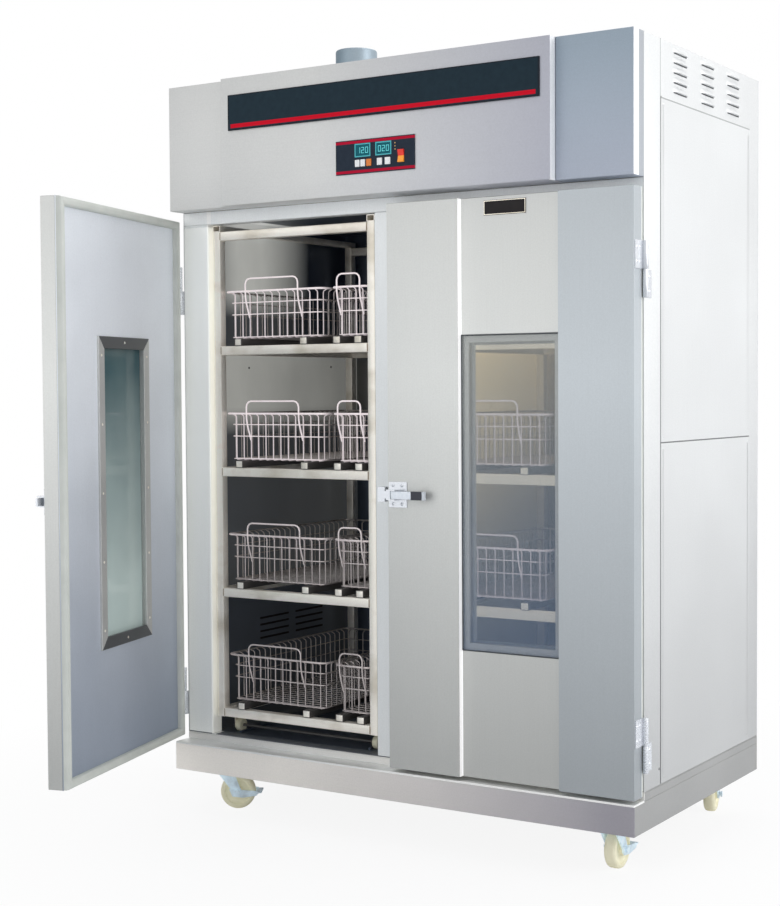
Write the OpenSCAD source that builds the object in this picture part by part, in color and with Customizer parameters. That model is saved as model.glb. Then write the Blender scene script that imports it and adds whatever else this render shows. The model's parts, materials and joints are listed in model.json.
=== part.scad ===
// Two-door hot-air dish sterilizer cabinet on casters, with a roll-in trolley
// of wire baskets in each bay. Millimetres, +Z up, front towards -Y.
// The origin is on the floor, under the middle of the cabinet.

/* [Cabinet] */
// Width over the side casings
body_w = 1420; // [1300:10:1600]
// Depth from the door fronts to the rear cover
body_d = 840; // [780:10:960]
// Height of the base plinth at its front ledge
plinth_h = 78; // [60:2:120]
// Step from the front ledge up to the deck that carries the cabinet
deck_rise = 20; // [10:1:30]
// Thickness of the outer sheet
sheet = 3; // [2:0.5:4]
// Thickness of the chamber's inner sheet
liner_t = 2; // [1.5:0.5:3]
// Height of the header above the doors
header_h = 346; // [300:2:400]
// Width of the header's middle section
header_mid_w = 1006; // [900:2:1100]
// How far the header's middle section stands forward
header_proud = 28; // [10:1:40]
// Space between the door tops and the header
header_gap = 24; // [10:1:40]

/* [Bays] */
// Width of the frame's outer jambs
jamb_w = 90; // [60:1:100]
// Width of the post between the two bays
mullion_w = 120; // [110:1:150]
// Depth of the front frame's members
frame_d = 40; // [30:1:60]
// Thickness of the side insulation
side_insul = 64; // [40:1:70]
// Thickness of the rear air space and insulation
rear_insul = 56; // [40:1:80]
// Thickness of the ceiling insulation
ceiling_insul = 40; // [30:1:60]

/* [Doors] */
// Height of a door
door_h = 1472; // [1460:2:1500]
// Thickness of a door without its seal
door_t = 42; // [36:1:50]
// Gap between the two closed doors
door_split = 30; // [26:1:40]
// Gap between the plinth and the doors
door_foot_gap = 10; // [5:1:20]
// Thickness of the door seal
seal_t = 15.7; // [12:0.1:20]
// Width of the door seal
seal_w = 22; // [14:1:30]
// Width of the stile on the hinge side
hinge_stile_w = 201; // [150:1:240]
// Width of the stile on the latch side
latch_stile_w = 212; // [150:1:240]
// Depth of the recess in the middle of a door
door_recess = 16; // [8:1:20]
// Height of the window above the door's foot
window_foot = 324; // [200:2:400]
// Height of the window
window_h = 804; // [600:2:900]
// Thickness of a window pane
pane_t = 5; // [3:0.5:6]
// Angle at which the left door stands open
left_door_open = 75; // [0:1:110]

/* [Hinges and latches] */
// Length of a hinge
hinge_l = 135; // [100:1:160]
// Height of the lower hinge's middle above the door's foot
hinge_low = 127; // [100:1:300]
// Drop of the upper hinge's middle below the door's top
hinge_drop = 197; // [120:1:300]
// Radius of the hinge barrel
barrel_r = 7; // [6:0.5:8]
// Radius of the hinge pin
hinge_pin_r = 4; // [3:0.5:5]
// Height of the latches above the door's foot
latch_height = 718; // [600:1:900]
// Length of a latch lever
lever_l = 100; // [80:1:130]

/* [Casters] */
// Wheel diameter
wheel_d = 100; // [80:1:102]
// Wheel width
wheel_w = 32; // [25:1:40]
// Height from the floor to the plinth
caster_h = 120; // [118:1:140]
// Trail of a wheel behind its swivel
caster_trail = 36; // [30:1:44]
// Distance of the swivels from the cabinet's sides
caster_inset_x = 105; // [100:1:160]
// Distance of the swivels from the front and back
caster_inset_y = 95; // [90:1:160]

/* [Trolleys] */
// Width of a trolley
trolley_w = 545; // [520:1:550]
// Depth of a trolley
trolley_d = 690; // [640:1:690]
// Side of the trolley's square tube
tube = 25; // [20:1:30]
// Wall of the trolley's tube
tube_wall = 2; // [1.5:0.5:3]
// Distance from tier to tier
tier_pitch = 343; // [300:1:343]
// Distance from the highest tier to the front's top rail
top_pitch = 322; // [280:1:322]
// Diameter of a trolley's wheels
trolley_wheel_d = 36; // [32:1:40]
// Height of a trolley's lowest rails above its wheels
rail_lift = 14; // [4:1:14]
// Distance from the frame's front plane back to a trolley
trolley_setback = 12; // [8:1:20]

/* [Baskets] */
// Height of a basket
basket_h = 135; // [100:1:150]
// Depth of a basket
basket_d = 600; // [500:1:630]
// Width of a wide basket's rim
wide_rim = 343; // [330:1:355]
// Width of a narrow basket's rim
narrow_rim = 127; // [110:1:135]
// How far a rim stands out from the basket's walls
rim_out = 17; // [10:1:24]
// Spacing of the upright wires
wire_pitch = 27; // [20:1:40]
// Thickness of the basket walls
wire_d = 4; // [3:0.5:6]
// Height of a bail above the rim
bail_rise = 32; // [20:1:50]

/* [Hidden] */
$fn = 48;

// Clearances
seam = 0.2;          // between sheets and tubes that are joined at their edges
pin_play = 0.05;     // radial play of a pin or axle in its hole
run = 1;             // side play of a turning part
seal_rest = 0.3;     // between a closed door's seal and the frame
cut = 1;             // how far a cutting shape runs past a face

// Heights
plinth_z = caster_h;
floor_z = plinth_z + plinth_h;
deck_z = floor_z + deck_rise;
chamber_z = deck_z + liner_t;
door_z = floor_z + door_foot_gap;
door_top = door_z + door_h;
header_z = door_top + header_gap;
top_z = header_z + header_h;
chamber_top = header_z - 14;
opening_top = door_top - 13;

// Planes from front to back
half_w = body_w / 2;
front_y = -body_d / 2;
back_y = body_d / 2;
door_back_y = front_y + door_t;
frame_y = door_back_y + seal_t + seal_rest;
chamber_y = frame_y + frame_d;
liner_back_y = back_y - sheet - rear_insul;

// Bays
bay_in = mullion_w / 2;
bay_out = half_w - jamb_w;
liner_in = bay_in - 10;
liner_out = half_w - sheet - side_insul;

// Doors
door_in = door_split / 2;
door_skin = 2;
stile_in = door_in + latch_stile_w;
stile_out = half_w - hinge_stile_w;
window_z = door_z + window_foot;
window_top = window_z + window_h;
pane_lap = 20;
window_trim_w = 32;
window_trim_t = 6;
seal_inset = 1;
pane_set = 10;

// Hinges
hinge_leaf_t = 3;
hinge_leaf_w = 38;
hinge_x = half_w + barrel_r + 0.5;
hinge_y = (door_back_y + frame_y) / 2;
hinge_zs = [door_z + hinge_low, door_top - hinge_drop];
screw_r = 4.5;
screw_t = 2;

// Latches
latch_z = door_z + latch_height;
latch_plate_x = door_in + 4;
latch_plate_w = 55;
latch_plate_h = 66;
latch_plate_t = 3;
lever_pivot_x = door_in + 26;
lever_pivot_y = front_y - 17;
lever_pin_r = 4;
lever_hub_r = 8;
lever_h = 20;
cheek_t = 3;
keeper_w = 22;
keeper_h = 38;
keeper_front_y = front_y - 10;
strike_t = 5;

// Casters
caster_x = half_w - caster_inset_x;
caster_y = body_d / 2 - caster_inset_y;
CASTER_PLACE = [[-caster_x, -caster_y], [caster_x, -caster_y],
                [-caster_x, caster_y], [caster_x, caster_y]];
CASTER_TURN = [30, 90, 70, 102];
wheel_r = wheel_d / 2;
axle_r = 5;
kingpin_r = 6;
fork_gap = wheel_w / 2 + 3;
leg_t = 4;
caster_plate_t = 5;
race_r = 24;
race_t = 4;
fork_top = caster_h - caster_plate_t - race_t - seal_rest;
crown_t = 5;
crown_r = 27;
strap_t = 3;
pedal_reach = wheel_r + 5;

// Trolleys
trolley_x = (bay_in + bay_out) / 2;
trolley_front = frame_y + trolley_setback;
trolley_back = trolley_front + trolley_d;
trolley_wheel_r = trolley_wheel_d / 2;
trolley_wheel_w = 18;
trolley_axle_r = 4;
tiers = 4;
first_rail_z = chamber_z + trolley_wheel_d + rail_lift;
top_rail_z = first_rail_z + (tiers - 1) * tier_pitch + top_pitch;
post_top = top_rail_z + tube;
guide_h = 18;
runner_w = 24;
runner_t = 20;
wheel_setback = 60;
axle_bracket_t = 3;
trolley_reach = trolley_w / 2 - tube - axle_bracket_t - run;
axle_z = chamber_z + trolley_wheel_r;

// Baskets
basket_front = trolley_front + 10;
inner_w = trolley_w - 2 * tube;
wide_off = (inner_w - wide_rim) / 2 - 1.5;
narrow_off = (inner_w - narrow_rim) / 2 - 1.5;
rim_t = 5;
bail_r = 3;
wide_bail_w = 186;
narrow_bail_w = 80;
bail_drop = 75;

// Header panels
panel_w = 242;
panel_h = 88;
panel_t = 3;
panel_z = header_z + 54;
mid_front_y = front_y - header_proud;
panel_y = mid_front_y - panel_t;
sign_w = 952;
sign_h = 96;
sign_t = 4;
sign_z = header_z + 202;
KEY_BOXES = [[-60, 18, 14], [-43, 18, 14], [-25, 18, 15], [8, 18, 15], [32, 18, 16]];
LCD_XS = [-60, 4];
lcd_w = 46;
lcd_h = 32;
lcd_z = panel_z + 44;
key_h = 18;
key_play = 0.4;
key_stand = 2;
board_y = mid_front_y + 8;
rocker_x = 72;
rocker_w = 17;
rocker_h = 33;
rocker_z = panel_z + 20;

// Exhaust, fan and heaters
exhaust_x = -340;
exhaust_y = -20;
exhaust_r = 60;
exhaust_l = 128;
fan_x = 0;
fan_y = 60;
fan_r = 150;
fan_h = 80;
fan_z = chamber_top + liner_t + ceiling_insul + 12;
shaft_r = 9;
motor_r = 75;
motor_h = 120;
bracket_z = fan_z + fan_h + 30;
heater_r = 6;

// ---------------------------------------------------------------- small shapes

// A box from its lowest corner to its highest.
module span(low, high) {
    translate(low) cube(high - low);
}

// A hollow member of folded sheet from corner to corner, open at its ends along one axis.
module folded(low, high, wall, axis) {
    keep = [for (i = [0 : 2]) i == axis ? -cut : wall];
    difference() {
        span(low, high);
        span(low + keep, high - keep);
    }
}

// Does the same thing on both sides of the cabinet.
module both_sides() {
    children();
    mirror([1, 0, 0]) children();
}

// A domed screw head whose flat side lies on the plane z = 0.
module screw_head(r = screw_r, t = screw_t) {
    rotate_extrude()
        intersection() {
            translate([0, t - (r * r + t * t) / (2 * t)]) circle(r = (r * r + t * t) / (2 * t));
            square([r, t]);
        }
}

// Square tube along X, Y or Z, open at its ends.
module tube_z(x, y, z, length) {
    translate([x, y, z])
        linear_extrude(length)
            difference() {
                square(tube);
                translate([tube_wall, tube_wall]) square(tube - 2 * tube_wall);
            }
}

module tube_x(x, y, z, length) {
    translate([x + length, y, z]) rotate([0, -90, 0]) tube_z(0, 0, 0, length);
}

module tube_y(x, y, z, length) {
    translate([x, y + length, z]) rotate([90, 0, 0]) tube_z(0, 0, 0, length);
}

// ---------------------------------------------------------------- base and body

// Plinth of folded sheet: a low ledge in front, the raised deck behind it, skirts all round,
// and a mounting channel over each pair of casters.
module base_plinth() {
    channel_w = 150;
    ledge_low = floor_z - sheet;
    deck_low = deck_z - sheet;
    color("silver") {
        span([-half_w, front_y, plinth_z], [half_w, front_y + sheet, ledge_low - seam]);
        span([-half_w, front_y, ledge_low], [half_w, frame_y + sheet, floor_z]);
        span([-half_w, frame_y, floor_z + seam], [half_w, frame_y + sheet, deck_low - seam]);
        span([-half_w, frame_y, deck_low], [half_w, back_y, deck_z]);
        span([-half_w, back_y - sheet, plinth_z], [half_w, back_y, deck_low - seam]);
        both_sides() {
            span([half_w - sheet, front_y + sheet + seam, plinth_z],
                 [half_w, back_y - sheet - seam, ledge_low - seam]);
            span([half_w - sheet, frame_y + sheet + seam, ledge_low],
                 [half_w, back_y - sheet - seam, deck_low - seam]);
        }
        for (y = [-caster_y, caster_y])
            span([-half_w + sheet + seam, y - channel_w / 2, plinth_z],
                 [half_w - sheet - seam, y + channel_w / 2, plinth_z + sheet]);
    }
}

// Sill, and the two jambs, post and top rail of the opening, folded from sheet.
module front_frame() {
    jamb_top = opening_top - seam;
    color("lightgray") {
        span([-half_w + sheet + seam, frame_y, deck_z], [half_w - sheet - seam, chamber_y, chamber_z]);
        both_sides()
            folded([bay_out, frame_y, chamber_z + seam], [half_w - sheet - seam, chamber_y, jamb_top],
                   sheet, 2);
        folded([-bay_in, frame_y, chamber_z + seam], [bay_in, chamber_y, jamb_top], sheet, 2);
        folded([-half_w + sheet + seam, frame_y, opening_top],
               [half_w - sheet - seam, chamber_y, header_z - seam], sheet, 0);
    }
}

// Louvre hoods in three columns high on the side, each over its own slot.
module louvre_grid() {
    columns = 3;
    rows = 5;
    column_pitch = 182;
    row_pitch = 24.4;
    for (c = [0 : columns - 1])
        for (r = [0 : rows - 1])
            translate([0, front_y + 280 + c * column_pitch, top_z - 119 + r * row_pitch])
                children();
}

// The two side sheets with their louvres, and the roof with the hole of the exhaust.
module outer_casing() {
    louvre_w = 92;
    hood_out = 9;
    hood_h = 14;
    slot_h = 7;
    color("gainsboro") {
        both_sides() {
            difference() {
                span([half_w - sheet, frame_y, deck_z], [half_w, back_y - sheet - seam, top_z]);
                louvre_grid() translate([half_w - sheet - cut, -louvre_w / 2 + 3, -slot_h])
                    cube([sheet + 2 * cut, louvre_w - 6, slot_h]);
            }
            louvre_grid()
                translate([half_w, louvre_w / 2, 0])
                    rotate([90, 0, 0])
                        linear_extrude(louvre_w)
                            polygon([[0, hood_h], [0, 0], [hood_out, -4], [hood_out, -2]]);
        }
        difference() {
            span([-half_w + sheet + seam, frame_y, top_z - sheet],
                 [half_w - sheet - seam, back_y - sheet - seam, top_z]);
            translate([exhaust_x, exhaust_y, top_z - sheet - cut])
                cylinder(r = exhaust_r - sheet, h = sheet + 2 * cut);
        }
    }
}

// Flat sheet that closes the back.
module rear_cover() {
    color("gainsboro")
        span([-half_w, back_y - sheet, deck_z], [half_w, back_y, top_z]);
}

// Two service panels on each side, screwed on at their corners.
module side_access_panels() {
    panel_front = front_y + 157;
    panel_back = front_y + 768;
    middle_z = deck_z + 846;
    panel_top = top_z - 144;
    thin = 1.5;
    inset = 14;
    color("whitesmoke")
        both_sides()
            for (z = [[deck_z + 2, middle_z - 1], [middle_z + 1, panel_top]]) {
                span([half_w, panel_front, z[0]], [half_w + thin, panel_back, z[1]]);
                for (y = [panel_front + inset, panel_back - inset])
                    for (level = [z[0] + inset, z[1] - inset])
                        translate([half_w + thin, y, level]) rotate([0, 90, 0]) screw_head(3.5, 1.5);
            }
}

// Mineral wool slabs round the chambers; those of the ceiling leave the fan's inlet open.
module insulation() {
    slab_low = chamber_top + liner_t + seam;
    slab_top = chamber_top + liner_t + ceiling_insul;
    inlet = fan_r * 0.65;
    slab_x = liner_out + liner_t;
    slab_y = chamber_y + seam;
    color("khaki") {
        both_sides() {
            span([slab_x + seam, slab_y, chamber_z], [half_w - sheet - seam, liner_back_y, slab_top]);
            span([fan_x + inlet + seam, slab_y, slab_low], [slab_x, liner_back_y, slab_top]);
        }
        span([-liner_in + liner_t + seam, slab_y, chamber_z],
             [liner_in - liner_t - seam, liner_back_y, chamber_top]);
        span([-half_w + sheet + seam, liner_back_y + liner_t + seam, chamber_z],
             [half_w - sheet - seam, back_y - sheet - seam, slab_top]);
        span([fan_x - inlet, slab_y, slab_low], [fan_x + inlet, fan_y - inlet, slab_top]);
        span([fan_x - inlet, fan_y + inlet, slab_low], [fan_x + inlet, liner_back_y, slab_top]);
    }
}

// Rows of air slots low in a chamber's back wall.
module air_slots(low_z) {
    slot_w = 26;
    slot_h = 5;
    for (row = [0 : 3])
        for (column = [0 : 7])
            translate([trolley_x - 160 + column * 42, 0, low_z + row * 16])
                cube([slot_w, 8, slot_h]);
}

// Stainless lining of the two chambers: walls, backs, ceilings and floors with wheel tracks.
module chamber_liner() {
    track_h = 5;
    track_w = 6;
    track_out = trolley_reach - trolley_wheel_w - 2;
    wall_front = chamber_y + seam;
    wall_back = liner_back_y - seam;
    ceiling_z = chamber_top + seam;
    color("darkgray")
        both_sides() {
            for (x = [liner_in - liner_t, liner_out])
                span([x, wall_front, chamber_z], [x + liner_t, wall_back, chamber_top]);
            difference() {
                span([liner_in - liner_t, liner_back_y, chamber_z],
                     [liner_out + liner_t, liner_back_y + liner_t, chamber_top]);
                translate([0, liner_back_y - 3, 0]) air_slots(first_rail_z + tier_pitch - 50);
            }
            span([liner_in - liner_t, wall_front, ceiling_z],
                 [liner_out + liner_t, liner_back_y + liner_t, ceiling_z + liner_t - 2 * seam]);
            span([liner_in + seam, wall_front, deck_z], [liner_out - seam, wall_back, chamber_z]);
            for (x = [trolley_x - track_out, trolley_x + track_out - track_w])
                span([x, chamber_y + 10, chamber_z + seam],
                     [x + track_w, liner_back_y - 10, chamber_z + track_h]);
        }
}

// ---------------------------------------------------------------- hot-air unit

// Motor on its bridge of bent sheet, with the shaft that carries the impeller.
module fan_motor() {
    bracket_w = 360;
    bracket_d = 180;
    foot_w = 30;
    low = fan_z - 12;
    leg_x = bracket_w / 2;
    color("dimgray") {
        translate([fan_x, fan_y, bracket_z + sheet + seam]) cylinder(r = motor_r, h = motor_h);
        translate([fan_x, fan_y, bracket_z + sheet + motor_h + 2 * seam]) cylinder(r = motor_r * 0.8, h = 14);
        translate([fan_x, fan_y, fan_z + 10]) cylinder(r = shaft_r, h = bracket_z - fan_z - 10 - seam);
        span([fan_x - leg_x, fan_y - bracket_d / 2, bracket_z],
             [fan_x + leg_x, fan_y + bracket_d / 2, bracket_z + sheet]);
        for (side = [-1, 1]) {
            translate([fan_x + side * (leg_x - sheet / 2), fan_y, (low + sheet + bracket_z) / 2])
                cube([sheet, bracket_d, bracket_z - low - sheet - 2 * seam], center = true);
            translate([fan_x + side * (leg_x + foot_w / 2 - sheet), fan_y, low + sheet / 2])
                cube([foot_w, bracket_d, sheet], center = true);
        }
    }
}

// Centrifugal wheel: back plate, hub, curved blades and front ring.
module fan_impeller() {
    blades = 10;
    blade_t = 2;
    color("silver")
        translate([fan_x, fan_y, fan_z])
            difference() {
                union() {
                    translate([0, 0, fan_h - 3]) cylinder(r = fan_r, h = 3);
                    translate([0, 0, 24]) cylinder(r = 22, h = fan_h - 24);
                    difference() {
                        cylinder(r = fan_r, h = 3);
                        translate([0, 0, -cut]) cylinder(r = fan_r * 0.68, h = 3 + 2 * cut);
                    }
                    for (i = [0 : blades - 1])
                        rotate([0, 0, i * 360 / blades])
                            translate([fan_r * 0.7, 0, 0])
                                rotate([0, 0, 35])
                                    cube([fan_r * 0.3, blade_t, fan_h]);
                }
                translate([0, 0, -cut]) cylinder(r = shaft_r + pin_play, h = fan_h + 2 * cut);
            }
}

// Tubular heaters: two hairpins on each side of the fan, standing on the ceiling insulation.
module heating_elements() {
    reach = 290;
    start = 225;
    seat_z = fan_z - 12 + heater_r;
    color("darkslategray")
        both_sides()
            for (y = [-70, 40]) {
                for (leg = [0, 60])
                    translate([start, fan_y + y + leg, seat_z])
                        rotate([0, 90, 0]) cylinder(r = heater_r, h = reach);
                translate([start + reach, fan_y + y + 30, seat_z])
                    rotate([0, 0, -90])
                        rotate_extrude(angle = 180) translate([30, 0]) circle(r = heater_r);
                span([start - 8, fan_y + y - 12, fan_z - 12], [start, fan_y + y + 72, fan_z + 12]);
            }
}

// ---------------------------------------------------------------- header

// One section of the header from sheets: roof, foot and two cheeks.
module header_box(low_x, high_x, face_y) {
    inner_y = face_y + sheet + seam;
    inner_back = frame_y - seam;
    span([low_x, inner_y, header_z], [high_x, inner_back, header_z + sheet]);
    span([low_x, inner_y, top_z - sheet], [high_x, inner_back, top_z]);
    for (x = [low_x, high_x - sheet])
        span([x, inner_y, header_z + sheet + seam], [x + sheet, inner_back, top_z - sheet - seam]);
}

// Header over the doors: the middle section stands forward and leaves the panel's place open.
module header_fascia() {
    mid_half = header_mid_w / 2;
    panel_half = panel_w / 2 - 6;
    hole_low = panel_z + 6;
    hole_top = panel_z + panel_h - 6;
    face_back = mid_front_y + sheet;
    color("lightsteelblue") {
        both_sides() {
            header_box(mid_half + seam, half_w, front_y);
            span([mid_half + seam, front_y, header_z], [half_w, front_y + sheet, top_z]);
            span([panel_half + seam, mid_front_y, hole_low], [mid_half, face_back, hole_top]);
        }
        header_box(-mid_half, mid_half, mid_front_y);
        span([-mid_half, mid_front_y, header_z], [mid_half, face_back, hole_low - seam]);
        span([-mid_half, mid_front_y, hole_top + seam], [mid_half, face_back, top_z]);
    }
}

// Blank sign band on the header.
module sign_plate() {
    color("darkslategray")
        span([-sign_w / 2, mid_front_y - sign_t, sign_z], [sign_w / 2, mid_front_y, sign_z + sign_h]);
}

// Operator's panel with openings for the keys, the rocker and the displays.
module control_panel() {
    color("darkslategray")
        difference() {
            span([-panel_w / 2, panel_y, panel_z], [panel_w / 2, mid_front_y, panel_z + panel_h]);
            for (k = KEY_BOXES)
                span([k[0] - key_play, panel_y - cut, panel_z + k[1] - key_play],
                     [k[0] + k[2] + key_play, mid_front_y + cut, panel_z + k[1] + key_h + key_play]);
            for (x = LCD_XS)
                span([x, panel_y - cut, lcd_z], [x + lcd_w, mid_front_y + cut, lcd_z + lcd_h]);
            span([rocker_x - key_play, panel_y - cut, rocker_z - key_play],
                 [rocker_x + rocker_w + key_play, mid_front_y + cut, rocker_z + rocker_h + key_play]);
        }
}

// Circuit board behind the panel, with its two displays and the switch under each key.
module display_board() {
    board_t = 2;
    switch_gap = 2.5;
    standoff_r = 4;
    color("darkgreen") {
        span([-panel_w / 2 + 9, board_y, panel_z + 9],
             [panel_w / 2 - 9, board_y + board_t, panel_z + panel_h - 9]);
        for (x = LCD_XS)
            span([x + key_play, panel_y + 0.5, lcd_z + key_play],
                 [x + lcd_w - key_play, board_y, lcd_z + lcd_h - key_play]);
        for (k = KEY_BOXES)
            span([k[0] + 4, mid_front_y + key_stand + switch_gap, panel_z + k[1] + 5],
                 [k[0] + k[2] - 4, board_y, panel_z + k[1] + 13]);
        for (x = [-panel_w / 2 + 14, panel_w / 2 - 14])
            for (z = [panel_z + 14, panel_z + panel_h - 14])
                translate([x, board_y, z])
                    rotate([90, 0, 0]) cylinder(r = standoff_r, h = board_y - mid_front_y);
    }
}

// One sprung key: cap in the panel, foot over its switch.
module panel_key(k, tint) {
    color(tint)
        span([k[0], panel_y - key_stand, panel_z + k[1]],
             [k[0] + k[2], mid_front_y + key_stand, panel_z + k[1] + key_h]);
}

module time_up_key() panel_key(KEY_BOXES[0], "white");
module time_down_key() panel_key(KEY_BOXES[1], "white");
module start_key() panel_key(KEY_BOXES[2], "orange");
module temperature_up_key() panel_key(KEY_BOXES[3], "white");
module temperature_down_key() panel_key(KEY_BOXES[4], "white");

// Rocker switch that tips about the panel's face.
module power_rocker() {
    middle = rocker_z + rocker_h / 2;
    lift = 5;
    inset = 0.6;
    color("orangered")
        translate([rocker_x, 0, 0])
            rotate([90, 0, 90])
                linear_extrude(rocker_w)
                    polygon([[panel_y - 1, middle],
                             [panel_y - lift, rocker_z + rocker_h - inset],
                             [mid_front_y, rocker_z + rocker_h - inset],
                             [mid_front_y, rocker_z + inset],
                             [panel_y - lift, rocker_z + inset]]);
}

// Flue collar on the roof: flange, straight neck and a rounded lip.
module exhaust_collar() {
    lip = 6;
    flange_r = exhaust_r + 18;
    color("gray")
        translate([exhaust_x, exhaust_y, top_z])
            rotate_extrude()
                difference() {
                    union() {
                        square([flange_r, sheet]);
                        square([exhaust_r, exhaust_l - lip]);
                        translate([exhaust_r - lip, exhaust_l - lip]) circle(r = lip);
                        square([exhaust_r - lip, exhaust_l]);
                    }
                    translate([0, -cut]) square([exhaust_r - sheet, exhaust_l - lip - sheet]);
                    translate([0, -cut]) square([exhaust_r - lip - sheet, exhaust_l + 2 * cut]);
                }
}

// ---------------------------------------------------------------- hinges and latches

// Four screw heads of a hinge leaf that stands on the plane x = 0 from y = 0.
module leaf_screws(direction) {
    for (z = [hinge_l * 0.12, hinge_l * 0.38])
        for (y = [13, 30])
            translate([0, direction * y, z]) rotate([0, 90, 0]) screw_head(4, 1.6);
}

// The half of a hinge that is fixed to the cabinet's side, with its pin.
module fixed_leaf(z) {
    low = z - hinge_l / 2;
    half = hinge_l / 2 - run / 2;
    translate([hinge_x, hinge_y, low]) cylinder(r = barrel_r, h = half);
    translate([hinge_x, hinge_y, low]) cylinder(r = hinge_pin_r, h = hinge_l - 4);
    span([half_w, hinge_y, low], [half_w + hinge_leaf_t, frame_y + hinge_leaf_w, low + half]);
    translate([half_w + hinge_leaf_t, frame_y - 4, low]) leaf_screws(1);
}

// The half of a hinge that is fixed to the door's edge.
module door_leaf(z) {
    low = z + run / 2;
    half = hinge_l / 2 - run / 2;
    difference() {
        union() {
            translate([hinge_x, hinge_y, low]) cylinder(r = barrel_r, h = half);
            span([half_w, front_y + 4, low], [half_w + hinge_leaf_t, hinge_y, low + half]);
        }
        translate([hinge_x, hinge_y, low - cut]) cylinder(r = hinge_pin_r + pin_play, h = half - 2);
    }
    translate([half_w + hinge_leaf_t, door_back_y - 2, low]) leaf_screws(-1);
}

// Fixed hinge leaves with their pins, and the keeper between the doors.
module cabinet_hardware() {
    base_t = 3;
    color("silver") {
        both_sides() for (z = hinge_zs) fixed_leaf(z);
        span([-keeper_w / 2, frame_y - base_t, latch_z - latch_plate_h / 2],
             [keeper_w / 2, frame_y, latch_z + latch_plate_h / 2]);
        span([-keeper_w / 2, keeper_front_y, latch_z - keeper_h / 2],
             [keeper_w / 2, frame_y - base_t, latch_z + keeper_h / 2]);
        for (side = [-1, 1])
            translate([0, frame_y - base_t, latch_z + side * (keeper_h / 2 + 7)])
                rotate([90, 0, 0]) screw_head();
    }
}

// Latch body of the right door: base plate, tongue over the keeper, cheeks and pivot pin.
module latch_body() {
    back = lever_hub_r + 4;
    cheek_in = lever_h / 2 + 0.5;
    tongue_y = keeper_front_y - 1;
    difference() {
        span([latch_plate_x, front_y - latch_plate_t, latch_z - latch_plate_h / 2],
             [latch_plate_x + latch_plate_w, front_y, latch_z + latch_plate_h / 2]);
        for (side = [-1, 1])
            for (x = [14, 41])
                translate([latch_plate_x + x, front_y + cut, latch_z + side * 24])
                    rotate([90, 0, 0]) cylinder(r = 2.5, h = latch_plate_t + 2 * cut);
    }
    for (side = [-1, 1])
        for (x = [14, 41])
            translate([latch_plate_x + x, front_y - latch_plate_t, latch_z + side * 24])
                rotate([90, 0, 0]) screw_head();
    for (z = [latch_z - cheek_in - cheek_t, latch_z + cheek_in])
        span([lever_pivot_x - back, lever_pivot_y - back, z],
             [lever_pivot_x + back, front_y - latch_plate_t, z + cheek_t]);
    translate([lever_pivot_x, lever_pivot_y, latch_z - cheek_in - cheek_t])
        cylinder(r = lever_pin_r, h = 2 * (cheek_in + cheek_t));
    span([1, tongue_y - strike_t, latch_z - 10], [lever_pivot_x - back + cheek_t, tongue_y, latch_z + 10]);
    for (z = [latch_z - cheek_in - cheek_t, latch_z + 10])
        span([latch_plate_x, tongue_y - strike_t, z],
             [lever_pivot_x - back + cheek_t, front_y - latch_plate_t, z + 3.5]);
}

// Latch lever of the right door: hub, flat arm and grip.
module latch_lever() {
    arm_t = 5;
    grip_l = 40;
    start = lever_pivot_x;
    difference() {
        union() {
            translate([lever_pivot_x, lever_pivot_y, latch_z - lever_h / 2])
                cylinder(r = lever_hub_r, h = lever_h);
            span([start, lever_pivot_y - lever_hub_r, latch_z - lever_h / 2],
                 [start + lever_l - grip_l, lever_pivot_y - lever_hub_r + arm_t, latch_z + lever_h / 2]);
            span([start + lever_l - grip_l, lever_pivot_y - lever_hub_r - 3, latch_z - lever_h / 2 - 1],
                 [start + lever_l, lever_pivot_y - lever_hub_r + arm_t + 2, latch_z + lever_h / 2 + 1]);
        }
        translate([lever_pivot_x, lever_pivot_y, latch_z - lever_h])
            cylinder(r = lever_pin_r + pin_play, h = 2 * lever_h);
    }
}

// ---------------------------------------------------------------- doors
// Each piece is drawn on the closed right door; the left door is its mirror, swung open.

module left_door_place() {
    translate([-hinge_x, hinge_y, 0])
        rotate([0, 0, -left_door_open])
            translate([hinge_x, -hinge_y, 0])
                mirror([1, 0, 0]) children();
}

// Folded outer pan: two stiles, a recessed middle and the window's opening.
module door_shell() {
    stile_y = front_y + door_skin;
    mid_y = front_y + door_recess;
    pan_y = door_back_y - liner_t;
    low = door_z + door_skin;
    high = door_top - door_skin;
    frame_in = stile_in + pane_lap;
    frame_out = stile_out - pane_lap;
    difference() {
        span([door_in, front_y, door_z], [half_w, pan_y, door_top]);
        span([stile_in, front_y - cut, door_z - cut], [stile_out, mid_y, door_top + cut]);
        span([stile_in, mid_y - cut, window_z], [stile_out, mid_y + pane_t, window_top]);
        span([door_in + door_skin, stile_y, low], [stile_in - door_skin, pan_y + cut, high]);
        span([stile_out + door_skin, stile_y, low], [half_w - door_skin, pan_y + cut, high]);
        for (z = [[low, window_z - door_skin], [window_top + door_skin, high]])
            span([stile_in + door_skin, mid_y + door_skin, z[0]], [stile_out - door_skin, pan_y + cut, z[1]]);
        span([frame_in, mid_y - cut, window_z + pane_lap], [frame_out, pan_y + cut, window_top - pane_lap]);
    }
}

// Inner sheet of the door, with the window's opening.
module door_liner() {
    difference() {
        span([door_in, door_back_y - liner_t + seam, door_z], [half_w, door_back_y, door_top]);
        span([stile_in + pane_lap, door_back_y - liner_t - cut, window_z + pane_lap],
             [stile_out - pane_lap, door_back_y + cut, window_top - pane_lap]);
    }
}

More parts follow.
